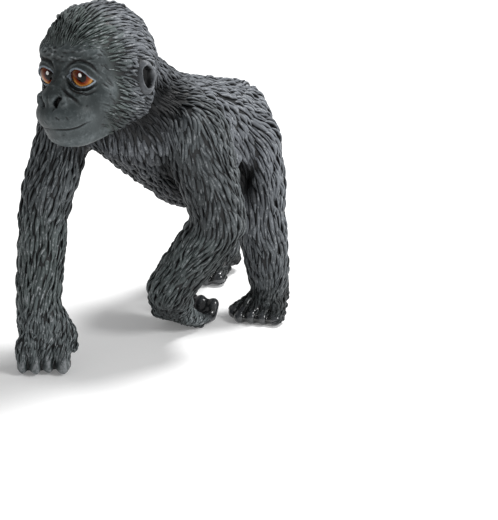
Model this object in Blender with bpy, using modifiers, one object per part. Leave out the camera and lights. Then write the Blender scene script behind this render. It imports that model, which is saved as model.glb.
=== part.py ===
"""Moulded toy figure of a baby gorilla, walking on its knuckles with its right arm forward.

The figure faces -Y, its left side is +X, and it stands on the plane Z = 0.  It is worked as
a sculptor works: big forms of clay are welded and smoothed, fine forms are laid on them, and
the whole figure is then parted by thin cuts into one solid for each named part of the body.
Landmarks are in millimetres.  The finished solids are scaled to metres.
"""
import math

import bmesh
import bpy
from mathutils import Matrix, Vector

TO_METRES = 0.001
GAP = 0.3                 # between two parts that meet, in millimetres
BODY_VOXEL = 0.5          # grain of the clay for the big forms
DETAIL_VOXEL = 0.34       # grain of the clay for fingers, toes and face
BODY_SMOOTHING = 14       # passes over the big forms
DETAIL_SMOOTHING = 2      # passes over the finished figure
FIGURE_TRIANGLES = 7400   # of the whole figure before it is parted
PARTS_TRIANGLES = 9700    # of all the parts together

LEFT, RIGHT = 1, -1       # sides of the body, as the sign of X
SIDE_NAMES = {LEFT: "left", RIGHT: "right"}

# Trunk: ellipsoids as (centre, half sizes), in a row along the back and one along the front.
NAPE = (Vector((0, -6.5, 43.2)), Vector((7.0, 6.0, 6.4)))
SHOULDER_BLADES = (Vector((0, 2.0, 39.8)), Vector((8.8, 8.0, 6.6)))
LOINS = (Vector((0, 13.0, 36.2)), Vector((9.0, 9.0, 7.2)))
RUMP = (Vector((0, 22.9, 32.6)), Vector((8.8, 8.4, 8.8)))
CHEST = (Vector((0, -3.0, 38.9)), Vector((9.2, 8.6, 7.9)))
BELLY = (Vector((0, 11.5, 31.0)), Vector((9.2, 9.5, 10.2)))
ROW_STEPS = 5             # ellipsoids laid from one form of a row to the next

# Neck and head.  The head has its own frame: forward, to its left, and up.
NECK = (Vector((0, -1.0, 42.2)), Vector((0, -9.5, 46.8)))
NECK_RADII = (6.7, 6.7)
HEAD_CENTRE = Vector((0.0, -14.7, 49.3))
HEAD_TURN = math.radians(8)     # towards its right
HEAD_BOW = math.radians(4)      # nose down
HEAD_TILT = math.radians(5)     # crown towards its right

EYE_RADIUS = 2.1
EYE_SPOT = Vector((4.95, 3.65, 1.05))
EAR_SPOT = Vector((-2.2, 8.8, -1.2))

# Limbs: joint positions, and the limb's radius there.
ARMS = {
    LEFT: {
        "shoulder": (Vector((9.2, -1.5, 38.0)), 5.8),
        "elbow": (Vector((11.2, 3.4, 22.0)), 4.5),
        "wrist": (Vector((2.4, 1.2, 9.2)), 3.9),
        "forearm_swell": 4.4,
        "knuckles": Vector((0.4, 5.6, 3.4)),
        "floor_joint": Vector((0.6, 8.4, 1.2)),
        "finger_end": Vector((0.8, 12.0, 1.2)),
        "fingertip": Vector((0.8, 13.0, 3.2)),
        "thumb_way": Vector((-1.0, 0.1, 0.0)),
    },
    RIGHT: {
        "shoulder": (Vector((-10.9, -8.2, 38.0)), 4.7),
        "elbow": (Vector((-11.2, -14.8, 25.3)), 4.1),
        "wrist": (Vector((-9.9, -18.9, 11.0)), 3.6),
        "forearm_swell": 4.2,
        "knuckles": Vector((-7.4, -21.3, 4.6)),
        "floor_joint": Vector((-6.6, -22.5, 1.2)),
        "finger_end": Vector((-8.4, -19.9, 1.2)),
        "fingertip": Vector((-8.8, -19.1, 3.0)),
        "thumb_way": Vector((0.8, 0.6, 0.0)),
    },
}
LEGS = {
    LEFT: {
        "hip": (Vector((5.6, 21.3, 30.0)), 6.3),
        "knee": (Vector((9.3, 20.3, 16.0)), 4.4),
        "ankle": (Vector((10.0, 21.8, 5.2)), 3.6),
        "toe_out": math.radians(4),
    },
    RIGHT: {
        "hip": (Vector((-5.6, 21.3, 30.0)), 6.3),
        "knee": (Vector((-7.4, 28.6, 16.2)), 4.0),
        "ankle": (Vector((-8.2, 35.2, 5.2)), 3.3),
        "toe_out": math.radians(0),
    },
}

FINGER_RADIUS = 1.25
FINGER_PITCH = 2.1
TOE_RADIUS = 1.2

EYE_OPENING = Vector((2.6, 2.3, 1.4))         # half sizes of the almond between the lids
EAR_SIZES = Vector((1.9, 1.3, 2.7))
EAR_DISH = Vector((1.2, 1.0, 1.9))            # hollow of the ear
EAR_DISH_SHIFT = Vector((0.3, 1.2, 0))        # from the ear's middle, forward and outward

# Where the figure is parted: (point, direction of the cut's normal, radius).
HEAD_CUT = (Vector((0, -8.9, 44.2)), Vector((0, -0.69, 0.73)), 12.0)
NECK_CUT = (Vector((0, -4.8, 42.0)), Vector((0, -0.46, 0.89)), 14.0)
CUP_CLEARANCE = 0.35      # between a limb's own radius and the cup that frees it
ARM_CUP = (6.0, 14.0)     # depth of the dome, length of the wall
LEG_CUP = (3.0, 6.0)
LEG_CUP_SHARE = 0.3       # of the way from hip to knee
LIMB_CUT_RADIUS = 6.0
ANKLE_CUT_RISE = 0.8      # the level cut over each foot, above the ankle joint
FLOOR_SLAB = 200.0        # cube under the floor that presses the flats
FLAT_SLACK = 0.06         # a point this near the floor is pressed on to it
CUTTER_SIDES = 18
DOME_STEPS = 3
SMALL_SIDES = 14          # of the balls that make eyes and ears
CRUMB = 0.5               # smaller loose bodies are dust from a cut, in cubic millimetres


def clear_scene():
    for obj in list(bpy.data.objects):
        bpy.data.objects.remove(obj, do_unlink=True)


def head_frame():
    """Matrix from (forward, left, up) in the head to the figure's own axes."""
    axes = Matrix(((0, 1, 0), (-1, 0, 0), (0, 0, 1))).to_4x4()
    turned = (Matrix.Rotation(-HEAD_TURN, 4, "Z") @ Matrix.Rotation(HEAD_BOW, 4, "X")
              @ Matrix.Rotation(-HEAD_TILT, 4, "Y"))
    return Matrix.Translation(HEAD_CENTRE) @ turned @ axes


def along(direction, across=Vector((0, 0, 1))):
    """Rotation that takes +Z to a direction, with +X as near to `across` as it can be."""
    z = direction.normalized()
    x = across - across.dot(z) * z
    if x.length < 1e-3:
        x = Vector((1, 0, 0)) - z.x * z
    x.normalize()
    return Matrix((x, z.cross(x), z)).transposed().to_4x4()


def eye_spot(side):
    return Vector((EYE_SPOT.x, side * EYE_SPOT.y, EYE_SPOT.z))


def ear_spot(side):
    return Vector((EAR_SPOT.x, side * EAR_SPOT.y, EAR_SPOT.z))


def ball(clay, centre, half_sizes, frame=Matrix(), sides=20):
    """An ellipsoid of clay.  Its centre and half sizes are given in the frame's axes."""
    place = frame @ Matrix.Translation(centre) @ Matrix.Diagonal((*half_sizes, 1))
    bmesh.ops.create_uvsphere(clay, u_segments=sides, v_segments=sides * 3 // 5, radius=1,
                              matrix=place)


def bone(clay, start, end, start_radius, end_radius, frame=Matrix()):
    """A tapered sausage of clay between two points."""
    start, end = frame @ start, frame @ end
    line = end - start
    place = Matrix.Translation((start + end) / 2) @ along(line)
    bmesh.ops.create_cone(clay, cap_ends=True, segments=20, radius1=start_radius,
                          radius2=end_radius, depth=line.length, matrix=place)
    for centre, radius in ((start, start_radius), (end, end_radius)):
        ball(clay, centre, (radius, radius, radius))


def disc(clay, centre, normal, radius):
    """A thin round cutter."""
    place = Matrix.Translation(centre) @ along(normal)
    bmesh.ops.create_cone(clay, cap_ends=True, segments=CUTTER_SIDES, radius1=radius,
                          radius2=radius, depth=GAP, matrix=place)


def cup(clay, centre, direction, radius, depth, length):
    """A thin cup-shaped cutter: a domed end, and a round wall along the limb it frees."""
    place = Matrix.Translation(centre) @ along(direction)
    quarter_turn = [step * math.pi / 2 / DOME_STEPS for step in range(DOME_STEPS + 1)]
    dome = [Vector((radius * math.sin(angle), 0, -depth * math.cos(angle)))
            for angle in quarter_turn]
    outer = dome + [Vector((radius, 0, length))]
    shrink = Matrix.Diagonal(((radius - GAP) / radius, 1, 1, 1))
    inner = [shrink @ point for point in outer]
    for point in inner[:-1]:
        point.z *= (depth - GAP) / depth
    profile = outer + inner[::-1]
    verts = [clay.verts.new(place @ point) for point in profile]
    edges = [clay.edges.new(pair) for pair in zip(verts, verts[1:])]
    bmesh.ops.spin(clay, geom=verts + edges, cent=place.translation,
                   axis=place.col[2].to_3d(), angle=math.tau, steps=CUTTER_SIDES, use_merge=True)
    bmesh.ops.remove_doubles(clay, verts=clay.verts, dist=1e-4)


def row(clay, *forms):
    """Ellipsoids that change little by little from each form to the next."""
    for (centre, half_sizes), (next_centre, next_half_sizes) in zip(forms, forms[1:]):
        for step in range(ROW_STEPS + 1):
            t = step / ROW_STEPS
            ball(clay, centre.lerp(next_centre, t), half_sizes.lerp(next_half_sizes, t))


def trunk(clay):
    row(clay, NAPE, SHOULDER_BLADES, LOINS, RUMP)
    row(clay, NAPE, CHEST, BELLY, RUMP)
    bone(clay, *NECK, *NECK_RADII)


def skull(clay):
    """The head's big forms: brain case, forehead, brow, face, cheeks, muzzle and jaw."""
    frame = head_frame()
    ball(clay, Vector((-1.8, 0, 1.4)), (8.3, 8.6, 9.2), frame)
    ball(clay, Vector((0.7, 0, 3.6)), (6.7, 7.7, 7.2), frame)
    ball(clay, Vector((1.3, 0, -1.2)), (6.7, 7.6, 7.2), frame)
    ball(clay, Vector((3.6, 0, -5.0)), (5.4, 6.0, 4.8), frame)
    ball(clay, Vector((6.2, 0, -4.6)), (5.4, 5.5, 4.3), frame)
    ball(clay, Vector((6.2, 0, -7.0)), (4.5, 4.8, 3.4), frame)
    bone(clay, Vector((4.2, 0, 2.0)), Vector((6.4, 0, -1.8)), 3.2, 4.0, frame)
    for side in (LEFT, RIGHT):
        bone(clay, Vector((4.2, side * 4.2, 4.3)), Vector((4.8, 0, 3.9)), 2.6, 2.5, frame)
        ball(clay, Vector((3.0, side * 4.4, -2.6)), (4.0, 3.4, 4.6), frame)
        ball(clay, Vector((-1.0, side * 4.8, -3.4)), (5.2, 3.8, 4.8), frame)
        bone(clay, Vector((-0.5, side * 4.6, -5.6)), Vector((5.0, side * 2.4, -7.4)),
             2.7, 2.5, frame)


def arm(clay, side):
    joints = ARMS[side]
    shoulder, shoulder_radius = joints["shoulder"]
    elbow, elbow_radius = joints["elbow"]
    wrist, wrist_radius = joints["wrist"]
    bone(clay, shoulder, elbow, shoulder_radius, elbow_radius)
    bone(clay, elbow, wrist, elbow_radius, wrist_radius)
    swell = joints["forearm_swell"]
    ball(clay, elbow.lerp(wrist, 0.4), (swell, swell, swell))
    collar = shoulder.lerp(Vector((0, shoulder.y + 2, 41)), 0.5)
    bone(clay, shoulder, collar, shoulder_radius, shoulder_radius * 1.04)


def hand_frame(side):
    """Matrix at the wrist: +X to the thumb, +Y out of the palm, +Z to the knuckles."""
    joints = ARMS[side]
    wrist = joints["wrist"][0]
    frame = along(joints["knuckles"] - wrist, joints["thumb_way"])
    if side == RIGHT:
        frame = frame @ Matrix.Diagonal((1, -1, 1, 1))
    frame.translation = wrist
    return frame


def palm(clay, side):
    joints = ARMS[side]
    length = (joints["knuckles"] - joints["wrist"][0]).length
    frame = hand_frame(side)
    ball(clay, Vector((0, 0, length * 0.45)), (4.1, 2.9, length * 0.75), frame)


def leg(clay, side):
    joints = LEGS[side]
    hip, hip_radius = joints["hip"]
    knee, knee_radius = joints["knee"]
    ankle, ankle_radius = joints["ankle"]
    bone(clay, RUMP[0].lerp(hip, 0.3), hip, hip_radius * 1.1, hip_radius)
    bone(clay, hip, knee, hip_radius, knee_radius)
    bone(clay, knee, ankle, knee_radius, ankle_radius)


def foot_frame(side):
    """Matrix on the floor under the ankle: +X to the little toe, +Y to the toes, +Z up."""
    joints = LEGS[side]
    ankle = joints["ankle"][0]
    turn = Matrix.Rotation(side * joints["toe_out"], 3, "Z")
    outward, ahead = turn @ Vector((side, 0, 0)), turn @ Vector((0, -1, 0))
    frame = Matrix((outward, ahead, Vector((0, 0, 1)))).transposed().to_4x4()
    frame.translation = Vector((ankle.x, ankle.y, 0))
    return frame


def sole(clay, side):
    frame = foot_frame(side)
    ball(clay, Vector((0, -1.6, 2.3)), (3.1, 3.2, 2.8), frame)
    ball(clay, Vector((0.8, 3.4, 2.2)), (4.2, 4.2, 2.7), frame)
    bone(clay, Vector((0, -0.4, 4.8)), Vector((0.6, 3.4, 2.9)), 3.4, 2.5, frame)


def face(clay):
    """The head's fine forms: nose, lips and the rims round the eyes."""
    frame = head_frame()
    ball(clay, Vector((6.8, 0, -4.7)), (5.0, 5.6, 3.2), frame)
    ball(clay, Vector((6.3, 0, -7.8)), (4.2, 4.7, 2.5), frame)
    bone(clay, Vector((5.6, 0, 2.2)), Vector((8.6, 0, -1.2)), 1.9, 2.0, frame)
    ball(clay, Vector((9.4, 0, -1.9)), (1.9, 2.5, 1.5), frame)
    for side in (LEFT, RIGHT):
        ball(clay, Vector((8.9, side * 1.9, -2.1)), (1.8, 1.4, 1.5), frame)
        ball(clay, Vector((7.1, side * 2.6, -2.2)), (2.4, 2.4, 2.4), frame)
        ball(clay, eye_spot(side) - Vector((0.0, 0, 0.1)), (2.35, 3.0, 2.8), frame)


def fingers(clay, side):
    """Four fingers that stand on their middle joints, tips folded to the rear, and a thumb."""
    joints = ARMS[side]
    out_of_palm = hand_frame(side).col[1].to_3d()
    across = joints["thumb_way"].normalized()
    for number in range(4):
        place = across * FINGER_PITCH * (1.5 - number)
        knuckle = joints["knuckles"] + place * 0.95 - out_of_palm * 0.6
        middle = joints["floor_joint"] + place
        end = joints["finger_end"] + place * 0.95
        tip = joints["fingertip"] + place * 0.9
        bone(clay, knuckle, middle, FINGER_RADIUS * 1.25, FINGER_RADIUS)
        bone(clay, middle, end, FINGER_RADIUS, FINGER_RADIUS * 0.95)
        bone(clay, end, tip, FINGER_RADIUS * 0.95, FINGER_RADIUS * 0.8)
    wrist = joints["wrist"][0]
    base = wrist.lerp(joints["knuckles"], 0.25) + across * 2.4
    tip = joints["knuckles"].lerp(joints["floor_joint"], 0.15) + across * 4.6 + out_of_palm
    middle = base.lerp(tip, 0.55) + across * 0.7
    bone(clay, base, middle, 1.7, 1.6)
    bone(clay, middle, tip, 1.6, 1.3)


def toes(clay, side):
    """Five toes in a row; the first, on the inner side, is the thickest and stands apart."""
    frame = foot_frame(side)
    for number in range(4):
        across = -1.35 + 1.95 * number
        base = Vector((across, 5.2, 1.6))
        tip = Vector((across, 8.0 - 0.7 * number, TOE_RADIUS - 0.15))
        bone(clay, base, tip, TOE_RADIUS * 1.1, TOE_RADIUS, frame)
    bone(clay, Vector((-2.6, 3.4, 1.7)), Vector((-3.7, 7.4, 1.2)), 1.6, 1.35, frame)


def add_object(name, mesh, collection):
    obj = bpy.data.objects.new(name, mesh)
    collection.objects.link(obj)
    return obj


def modelled(name, build, collection, modifiers=()):
    """A mesh object from a function that lays clay, with its modifiers applied."""
    clay = bmesh.new()
    build(clay)
    bmesh.ops.recalc_face_normals(clay, faces=clay.faces)
    mesh = bpy.data.meshes.new(name)
    clay.to_mesh(mesh)
    clay.free()
    obj = add_object(name, mesh, collection)
    for kind, settings in modifiers:
        modifier = obj.modifiers.new(kind, kind)
        for key, value in settings.items():
            setattr(modifier, key, value)
    return freeze(obj)


def freeze(obj):
    """Replaces an object's mesh by the evaluated one, so that its modifiers are used up."""
    bpy.context.view_layer.update()
    graph = bpy.context.evaluated_depsgraph_get()
    mesh = bpy.data.meshes.new_from_object(obj.evaluated_get(graph))
    obj.modifiers.clear()
    obj.data = mesh
    return obj


def big_forms(clay):
    trunk(clay)
    skull(clay)
    for side in (LEFT, RIGHT):
        arm(clay, side)
        palm(clay, side)
        leg(clay, side)
        sole(clay, side)


def fine_forms(clay):
    face(clay)
    for side in (LEFT, RIGHT):
        fingers(clay, side)
        toes(clay, side)


def figure_mesh(collection):
    """The whole figure in one piece, standing on the plane Z = 0 on small flats."""
    body = modelled("body", big_forms, collection, [
        ("REMESH", {"mode": "VOXEL", "voxel_size": BODY_VOXEL}),
        ("SMOOTH", {"factor": 0.5, "iterations": BODY_SMOOTHING}),
    ])

    def whole(clay):
        fine_forms(clay)
        clay.from_mesh(body.data)

    model = modelled("figure", whole, collection, [
        ("REMESH", {"mode": "VOXEL", "voxel_size": DETAIL_VOXEL}),
        ("SMOOTH", {"factor": 0.5, "iterations": DETAIL_SMOOTHING}),
    ])
    bpy.data.objects.remove(body)
    thinned(model, FIGURE_TRIANGLES)
    cut(model, [lambda clay: bmesh.ops.create_cube(
        clay, size=FLOOR_SLAB, matrix=Matrix.Translation((0, 0, -FLOOR_SLAB / 2)))])
    return model


def cut(obj, builders):
    """Takes the shape that each function builds away from an object."""
    for build in builders:
        cutter = modelled("cutter", build, obj.users_collection[0])
        difference = obj.modifiers.new("cut", "BOOLEAN")
        difference.operation = "DIFFERENCE"
        difference.object = cutter
        freeze(obj)
        bpy.data.objects.remove(cutter)


def separated(obj):
    """Splits an object into one object for each of its loose bodies."""
    clay = bmesh.new()
    clay.from_mesh(obj.data)
    clay.verts.ensure_lookup_table()
    bodies, seen = [], set()
    for start in clay.verts:
        if start in seen:
            continue
        body, queue = {start}, [start]
        while queue:
            for edge in queue.pop().link_edges:
                for vert in edge.verts:
                    if vert not in body:
                        body.add(vert)
                        queue.append(vert)
        seen |= body
        bodies.append({vert.index for vert in body})
    pieces = []
    for body in bodies:
        part = clay.copy()
        part.verts.ensure_lookup_table()
        strange = [vert for vert in part.verts if vert.index not in body]
        bmesh.ops.delete(part, geom=strange, context="VERTS")
        if part.calc_volume() > CRUMB:
            mesh = bpy.data.meshes.new("piece")
            part.to_mesh(mesh)
            pieces.append(add_object("piece", mesh, obj.users_collection[0]))
        part.free()
    clay.free()
    bpy.data.objects.remove(obj)
    return pieces


def centre_of(obj):
    corners = [Vector(corner) for corner in obj.bound_box]
    return sum(corners, Vector()) / 8


def parted(obj, builders, landmarks):
    """Cuts an object and names each piece after the landmark nearest to its middle."""
    cut(obj, builders)
    pieces = separated(obj)
    if len(pieces) != len(landmarks):
        raise RuntimeError(f"{list(landmarks)}: {len(pieces)} pieces")
    named = {}
    for name, spot in landmarks.items():
        piece = min(pieces, key=lambda item: (centre_of(item) - spot).length)
        pieces.remove(piece)
        piece.name = piece.data.name = name
        named[name] = piece
    return named


def limb_cup(start, end, radius, t, depth, length):
    """A cup round a limb, a share t of the way from its root joint to the next one."""
    return lambda clay: cup(clay, start.lerp(end, t), end - start, radius + CUP_CLEARANCE,
                            depth, length)


def joint_disc(joint, before, after):
    """A disc through a joint, square to the mean direction of the limb there."""
    direction = (joint - before).normalized() + (after - joint).normalized()
    return lambda clay: disc(clay, joint, direction, LIMB_CUT_RADIUS)


def limbs_off(model):
    """Frees the four limbs from the core by a cup round the root of each."""
    cups, landmarks = [], {"core": CHEST[0].lerp(BELLY[0], 0.3)}
    for side, word in SIDE_NAMES.items():
        shoulder, shoulder_radius = ARMS[side]["shoulder"]
        elbow = ARMS[side]["elbow"][0]
        cups.append(limb_cup(shoulder, elbow, shoulder_radius, 0, *ARM_CUP))
        landmarks[word + "_arm"] = elbow
        hip, hip_radius = LEGS[side]["hip"]
        knee, knee_radius = LEGS[side]["knee"]
        radius = hip_radius + (knee_radius - hip_radius) * LEG_CUP_SHARE
        cups.append(limb_cup(hip, knee, radius, LEG_CUP_SHARE, *LEG_CUP))
        landmarks[word + "_leg"] = knee
    return parted(model, cups, landmarks)


def part_core(core):
    cuts = [lambda clay: disc(clay, *HEAD_CUT), lambda clay: disc(clay, *NECK_CUT)]
    return parted(core, cuts, {"head": HEAD_CENTRE, "trunk": LOINS[0], "neck": NECK[1]})


def part_arm(arm_piece, side):
    joints, word = ARMS[side], SIDE_NAMES[side]
    shoulder, elbow, wrist = (joints[key][0] for key in ("shoulder", "elbow", "wrist"))
    cuts = [joint_disc(elbow, shoulder, wrist), joint_disc(wrist, elbow, joints["knuckles"])]
    return parted(arm_piece, cuts, {
        word + "_upper_arm": shoulder.lerp(elbow, 0.5),
        word + "_forearm": elbow.lerp(wrist, 0.5),
        word + "_hand": joints["knuckles"],
    })


def part_leg(leg_piece, side):
    joints, word = LEGS[side], SIDE_NAMES[side]
    hip, knee, ankle = (joints[key][0] for key in ("hip", "knee", "ankle"))
    sock = ankle + Vector((0, 0, ANKLE_CUT_RISE))
    cuts = [joint_disc(knee, hip, ankle),
            lambda clay: disc(clay, sock, Vector((0, 0, 1)), LIMB_CUT_RADIUS)]
    return parted(leg_piece, cuts, {
        word + "_thigh": hip.lerp(knee, 0.5),
        word + "_shin": knee.lerp(ankle, 0.5),
        word + "_foot": Vector((ankle.x, ankle.y, 0)),
    })


def eyes_and_ears(head, collection):
    """Sets the eyes in sockets and the ears in shallow pockets of the head."""
    frame = head_frame()
    rim = Vector((GAP, GAP, GAP))
    eye_sizes = Vector((EYE_RADIUS,) * 3)
    pieces = {}
    for side, word in SIDE_NAMES.items():
        eye, ear = eye_spot(side), ear_spot(side)
        window = eye + Vector((EYE_OPENING.x / 2, 0, 0))
        hollow = ear + Vector((EAR_DISH_SHIFT.x, side * EAR_DISH_SHIFT.y, 0))
        cut(head, [
            lambda clay: ball(clay, eye, eye_sizes + rim, frame, SMALL_SIDES),
            lambda clay: ball(clay, window, EYE_OPENING, frame, SMALL_SIDES),
            lambda clay: ball(clay, ear, EAR_SIZES + rim, frame, SMALL_SIDES),
        ])
        eye_piece = modelled(word + "_eye", lambda clay: ball(
            clay, eye, eye_sizes, frame, SMALL_SIDES), collection)
        ear_piece = modelled(word + "_ear", lambda clay: ball(
            clay, ear, EAR_SIZES, frame, SMALL_SIDES), collection)
        cut(ear_piece, [lambda clay: ball(clay, hollow, EAR_DISH, frame, SMALL_SIDES)])
        pieces[eye_piece.name] = eye_piece
        pieces[ear_piece.name] = ear_piece
    return pieces


def thinned(obj, triangles):
    """Collapses short edges until an object has about so many triangles."""
    obj.data.calc_loop_triangles()
    thin = obj.modifiers.new("thin", "DECIMATE")
    thin.ratio = min(1, triangles / len(obj.data.loop_triangles))
    return freeze(obj)


def thin_all(parts):
    """Takes out the slivers that the cuts left, and shares the triangles fairly."""
    counts = {}
    for name, obj in parts.items():
        obj.data.calc_loop_triangles()
        counts[name] = len(obj.data.loop_triangles)
    share = PARTS_TRIANGLES / sum(counts.values())
    for name, obj in parts.items():
        thinned(obj, counts[name] * share)


def paint(name, colour, roughness):
    material = bpy.data.materials.new(name)
    material.use_nodes = True
    shader = material.node_tree.nodes["Principled BSDF"]
    shader.inputs["Base Color"].default_value = (*colour, 1)
    shader.inputs["Roughness"].default_value = roughness
    return material


def paint_all(parts):
    fur = paint("dry_brushed_black_rubber", (0.085, 0.092, 0.098), 0.6)
    digits = paint("glossy_black_rubber", (0.02, 0.022, 0.024), 0.35)
    eye = paint("varnished_brown_eye", (0.30, 0.10, 0.02), 0.08)
    for name, obj in parts.items():
        finish = fur
        if name.endswith("_eye"):
            finish = eye
        elif name.endswith(("_hand", "_foot")):
            finish = digits
        obj.data.materials.clear()
        obj.data.materials.append(finish)


def press_flats(parts):
    """Brings the resting faces, which the thinning has moved a little, back to one level."""
    for obj in parts.values():
        for vert in obj.data.vertices:
            if vert.co.z < FLAT_SLACK:
                vert.co.z = 0


def stand_at_origin(parts):
    """Scales the parts to metres, with the middle of the figure's box on the Z axis."""
    corners = [Vector(corner) for obj in parts.values() for corner in obj.bound_box]
    low = Vector(min(corner[axis] for corner in corners) for axis in range(3))
    high = Vector(max(corner[axis] for corner in corners) for axis in range(3))
    middle = (low + high) / 2
    place = Matrix.Scale(TO_METRES, 4) @ Matrix.Translation((-middle.x, -middle.y, -low.z))
    for obj in parts.values():
        obj.data.transform(place)
        obj.data.shade_smooth()


def main():
    clear_scene()
    figure = bpy.data.collections.new("gorilla_figure")
    bpy.context.scene.collection.children.link(figure)
    limbs = limbs_off(figure_mesh(figure))
    parts = part_core(limbs["core"])
    for side, word in SIDE_NAMES.items():
        parts.update(part_arm(limbs[word + "_arm"], side))
        parts.update(part_leg(limbs[word + "_leg"], side))
    parts.update(eyes_and_ears(parts["head"], figure))
    thin_all(parts)
    press_flats(parts)
    paint_all(parts)
    bpy.context.view_layer.update()
    stand_at_origin(parts)


main()
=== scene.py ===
# %% [markdown]
# # A moulded toy gorilla
#
# The solid model gives the figure's true size, stance and outline as nineteen plain parts.
# This notebook dresses it.  One skin runs over all the parts, the way a moulding does, and is
# worked with small strokes where the face, hands and feet ask for it.  Raised strands of
# moulded fur lie on the skin, and the paint is built last: near-black in the grooves, partly
# as painted shade, and a dry brush of grey over whatever stands proud.

import math

import bmesh
import bpy
import numpy as np
from mathutils import Matrix, Vector, noise
from mathutils.bvhtree import BVHTree
from mathutils.geometry import barycentric_transform
from mathutils.kdtree import KDTree


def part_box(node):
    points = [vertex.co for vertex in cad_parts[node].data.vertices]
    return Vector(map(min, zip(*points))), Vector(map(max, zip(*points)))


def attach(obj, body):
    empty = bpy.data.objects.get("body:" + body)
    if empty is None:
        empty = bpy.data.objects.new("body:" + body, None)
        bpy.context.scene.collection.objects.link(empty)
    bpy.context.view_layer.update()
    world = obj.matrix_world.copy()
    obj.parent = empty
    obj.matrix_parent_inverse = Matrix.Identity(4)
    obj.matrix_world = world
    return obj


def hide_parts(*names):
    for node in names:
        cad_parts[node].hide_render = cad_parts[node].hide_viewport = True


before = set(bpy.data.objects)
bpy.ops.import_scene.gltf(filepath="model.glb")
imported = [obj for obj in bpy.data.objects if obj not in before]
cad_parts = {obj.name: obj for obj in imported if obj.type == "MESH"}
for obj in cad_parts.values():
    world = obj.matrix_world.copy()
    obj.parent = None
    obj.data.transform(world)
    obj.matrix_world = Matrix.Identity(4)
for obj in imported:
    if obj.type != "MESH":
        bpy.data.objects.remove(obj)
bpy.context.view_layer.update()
MM = 0.001                # the modelling is done in millimetres and scaled at the end
print("nodes:", len(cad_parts))

# %% [markdown]
# ## Places read from the solid model
#
# Positions come from the boxes of the solid parts, so the looks stay with the model when it
# changes.  The head has axes of its own, because it is turned, bowed and tilted: a point on
# it is given as (forward, to its left, up) from the middle of the head.

# %% Places on the body and axes of the head
LEFT, RIGHT = 1, -1
SIDE_NAMES = {LEFT: "left", RIGHT: "right"}
HEAD_TURN, HEAD_BOW, HEAD_TILT = (math.radians(angle) for angle in (8, 4, 5))
EYE_SPOT = Vector((4.95, 3.65, 1.05))         # middle of the left eye, on the head's axes


def middle(node):
    low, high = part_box(node)
    return (low + high) / 2 / MM


head_axes = (Matrix.Rotation(-HEAD_TURN, 3, "Z") @ Matrix.Rotation(HEAD_BOW, 3, "X")
             @ Matrix.Rotation(-HEAD_TILT, 3, "Y") @ Matrix(((0, 1, 0), (-1, 0, 0), (0, 0, 1))))
between_eyes = (middle("left_eye") + middle("right_eye")) / 2
head_middle = between_eyes - head_axes @ Vector((EYE_SPOT.x, 0, EYE_SPOT.z))


def on_head(points):
    """Points of the figure, given on the head's axes."""
    return (np.asarray(points) - np.array(head_middle)) @ np.array(head_axes)


def from_head(points):
    return np.asarray(points) @ np.array(head_axes).T + np.array(head_middle)


print("between the eyes, mm:", [round(value, 1) for value in between_eyes])

# %% [markdown]
# ## Clay for the skin
#
# The real figure is one moulding, so its skin has no seams.  Each solid part is swollen a
# little until it runs into its neighbours, and a voxel remesh welds them all.  The eye balls
# are laid in too, which closes the sockets: the lids are opened again later, far more finely
# than the solid parts could.

# %% Tools for clay
SWELL = 0.2               # more than half of the cut between two parts


def linked(name, data):
    """A new object for a mesh, a light or a camera, in the scene."""
    obj = bpy.data.objects.new(name, data)
    bpy.context.scene.collection.objects.link(obj)
    return obj


def freeze(obj):
    """Replaces an object's mesh by the evaluated one, so that its modifiers are used up."""
    bpy.context.view_layer.update()
    graph = bpy.context.evaluated_depsgraph_get()
    mesh = bpy.data.meshes.new_from_object(obj.evaluated_get(graph))
    obj.modifiers.clear()
    obj.data = mesh
    return obj


def modify(obj, kind, **settings):
    modifier = obj.modifiers.new(kind, kind)
    for key, value in settings.items():
        setattr(modifier, key, value)


def merged_copy(node):
    """A bmesh of a solid part in millimetres, its loose triangles merged."""
    clay = bmesh.new()
    clay.from_mesh(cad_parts[node].data)
    bmesh.ops.scale(clay, vec=(1 / MM,) * 3, verts=clay.verts)
    bmesh.ops.remove_doubles(clay, verts=clay.verts, dist=0.001)
    clay.normal_update()
    return clay


def soft_step(values, low, high):
    """0 below the low value, 1 above the high one, smooth between."""
    share = np.clip((values - low) / (high - low), 0, 1)
    return share * share * (3 - 2 * share)


def near_box(points, node, margin):
    """True inside the box of a solid part, grown by a margin."""
    low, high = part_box(node)
    inside = (points > np.array(low) / MM - margin) & (points < np.array(high) / MM + margin)
    return inside.all(axis=1)


def point_tree(points):
    tree = KDTree(len(points))
    for number, point in enumerate(points):
        tree.insert(point, number)
    tree.balance()
    return tree


def surface_tree(points, polygons):
    return BVHTree.FromPolygons([Vector(point) for point in points], polygons)


def ball(clay, centre, radius):
    bmesh.ops.create_uvsphere(clay, u_segments=24, v_segments=16, radius=radius + SWELL,
                              matrix=Matrix.Translation(centre))


def bone(clay, spots):
    """A chain of tapered sausages through (spot, radius) pairs, with a ball at each joint."""
    for (start, start_radius), (end, end_radius) in zip(spots, spots[1:]):
        line = end - start
        turn = line.to_track_quat("Z", "Y").to_matrix().to_4x4()
        bmesh.ops.create_cone(clay, cap_ends=True, segments=24, radius1=start_radius + SWELL,
                              radius2=end_radius + SWELL, depth=line.length,
                              matrix=Matrix.Translation((start + end) / 2) @ turn)
        ball(clay, start, start_radius)
    ball(clay, *spots[-1])


print("parts swell by", SWELL, "mm")

# %% [markdown]
# ## Fingers and toes
#
# The solid hands and feet end in plain blocks.  Each block is shrunk towards its end, and
# digits stand in its place: chains of tapered cylinders with a ball at each joint, which the
# remesh welds to the hand.  The same mask that shrinks a block later keeps the coat off it.

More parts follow.
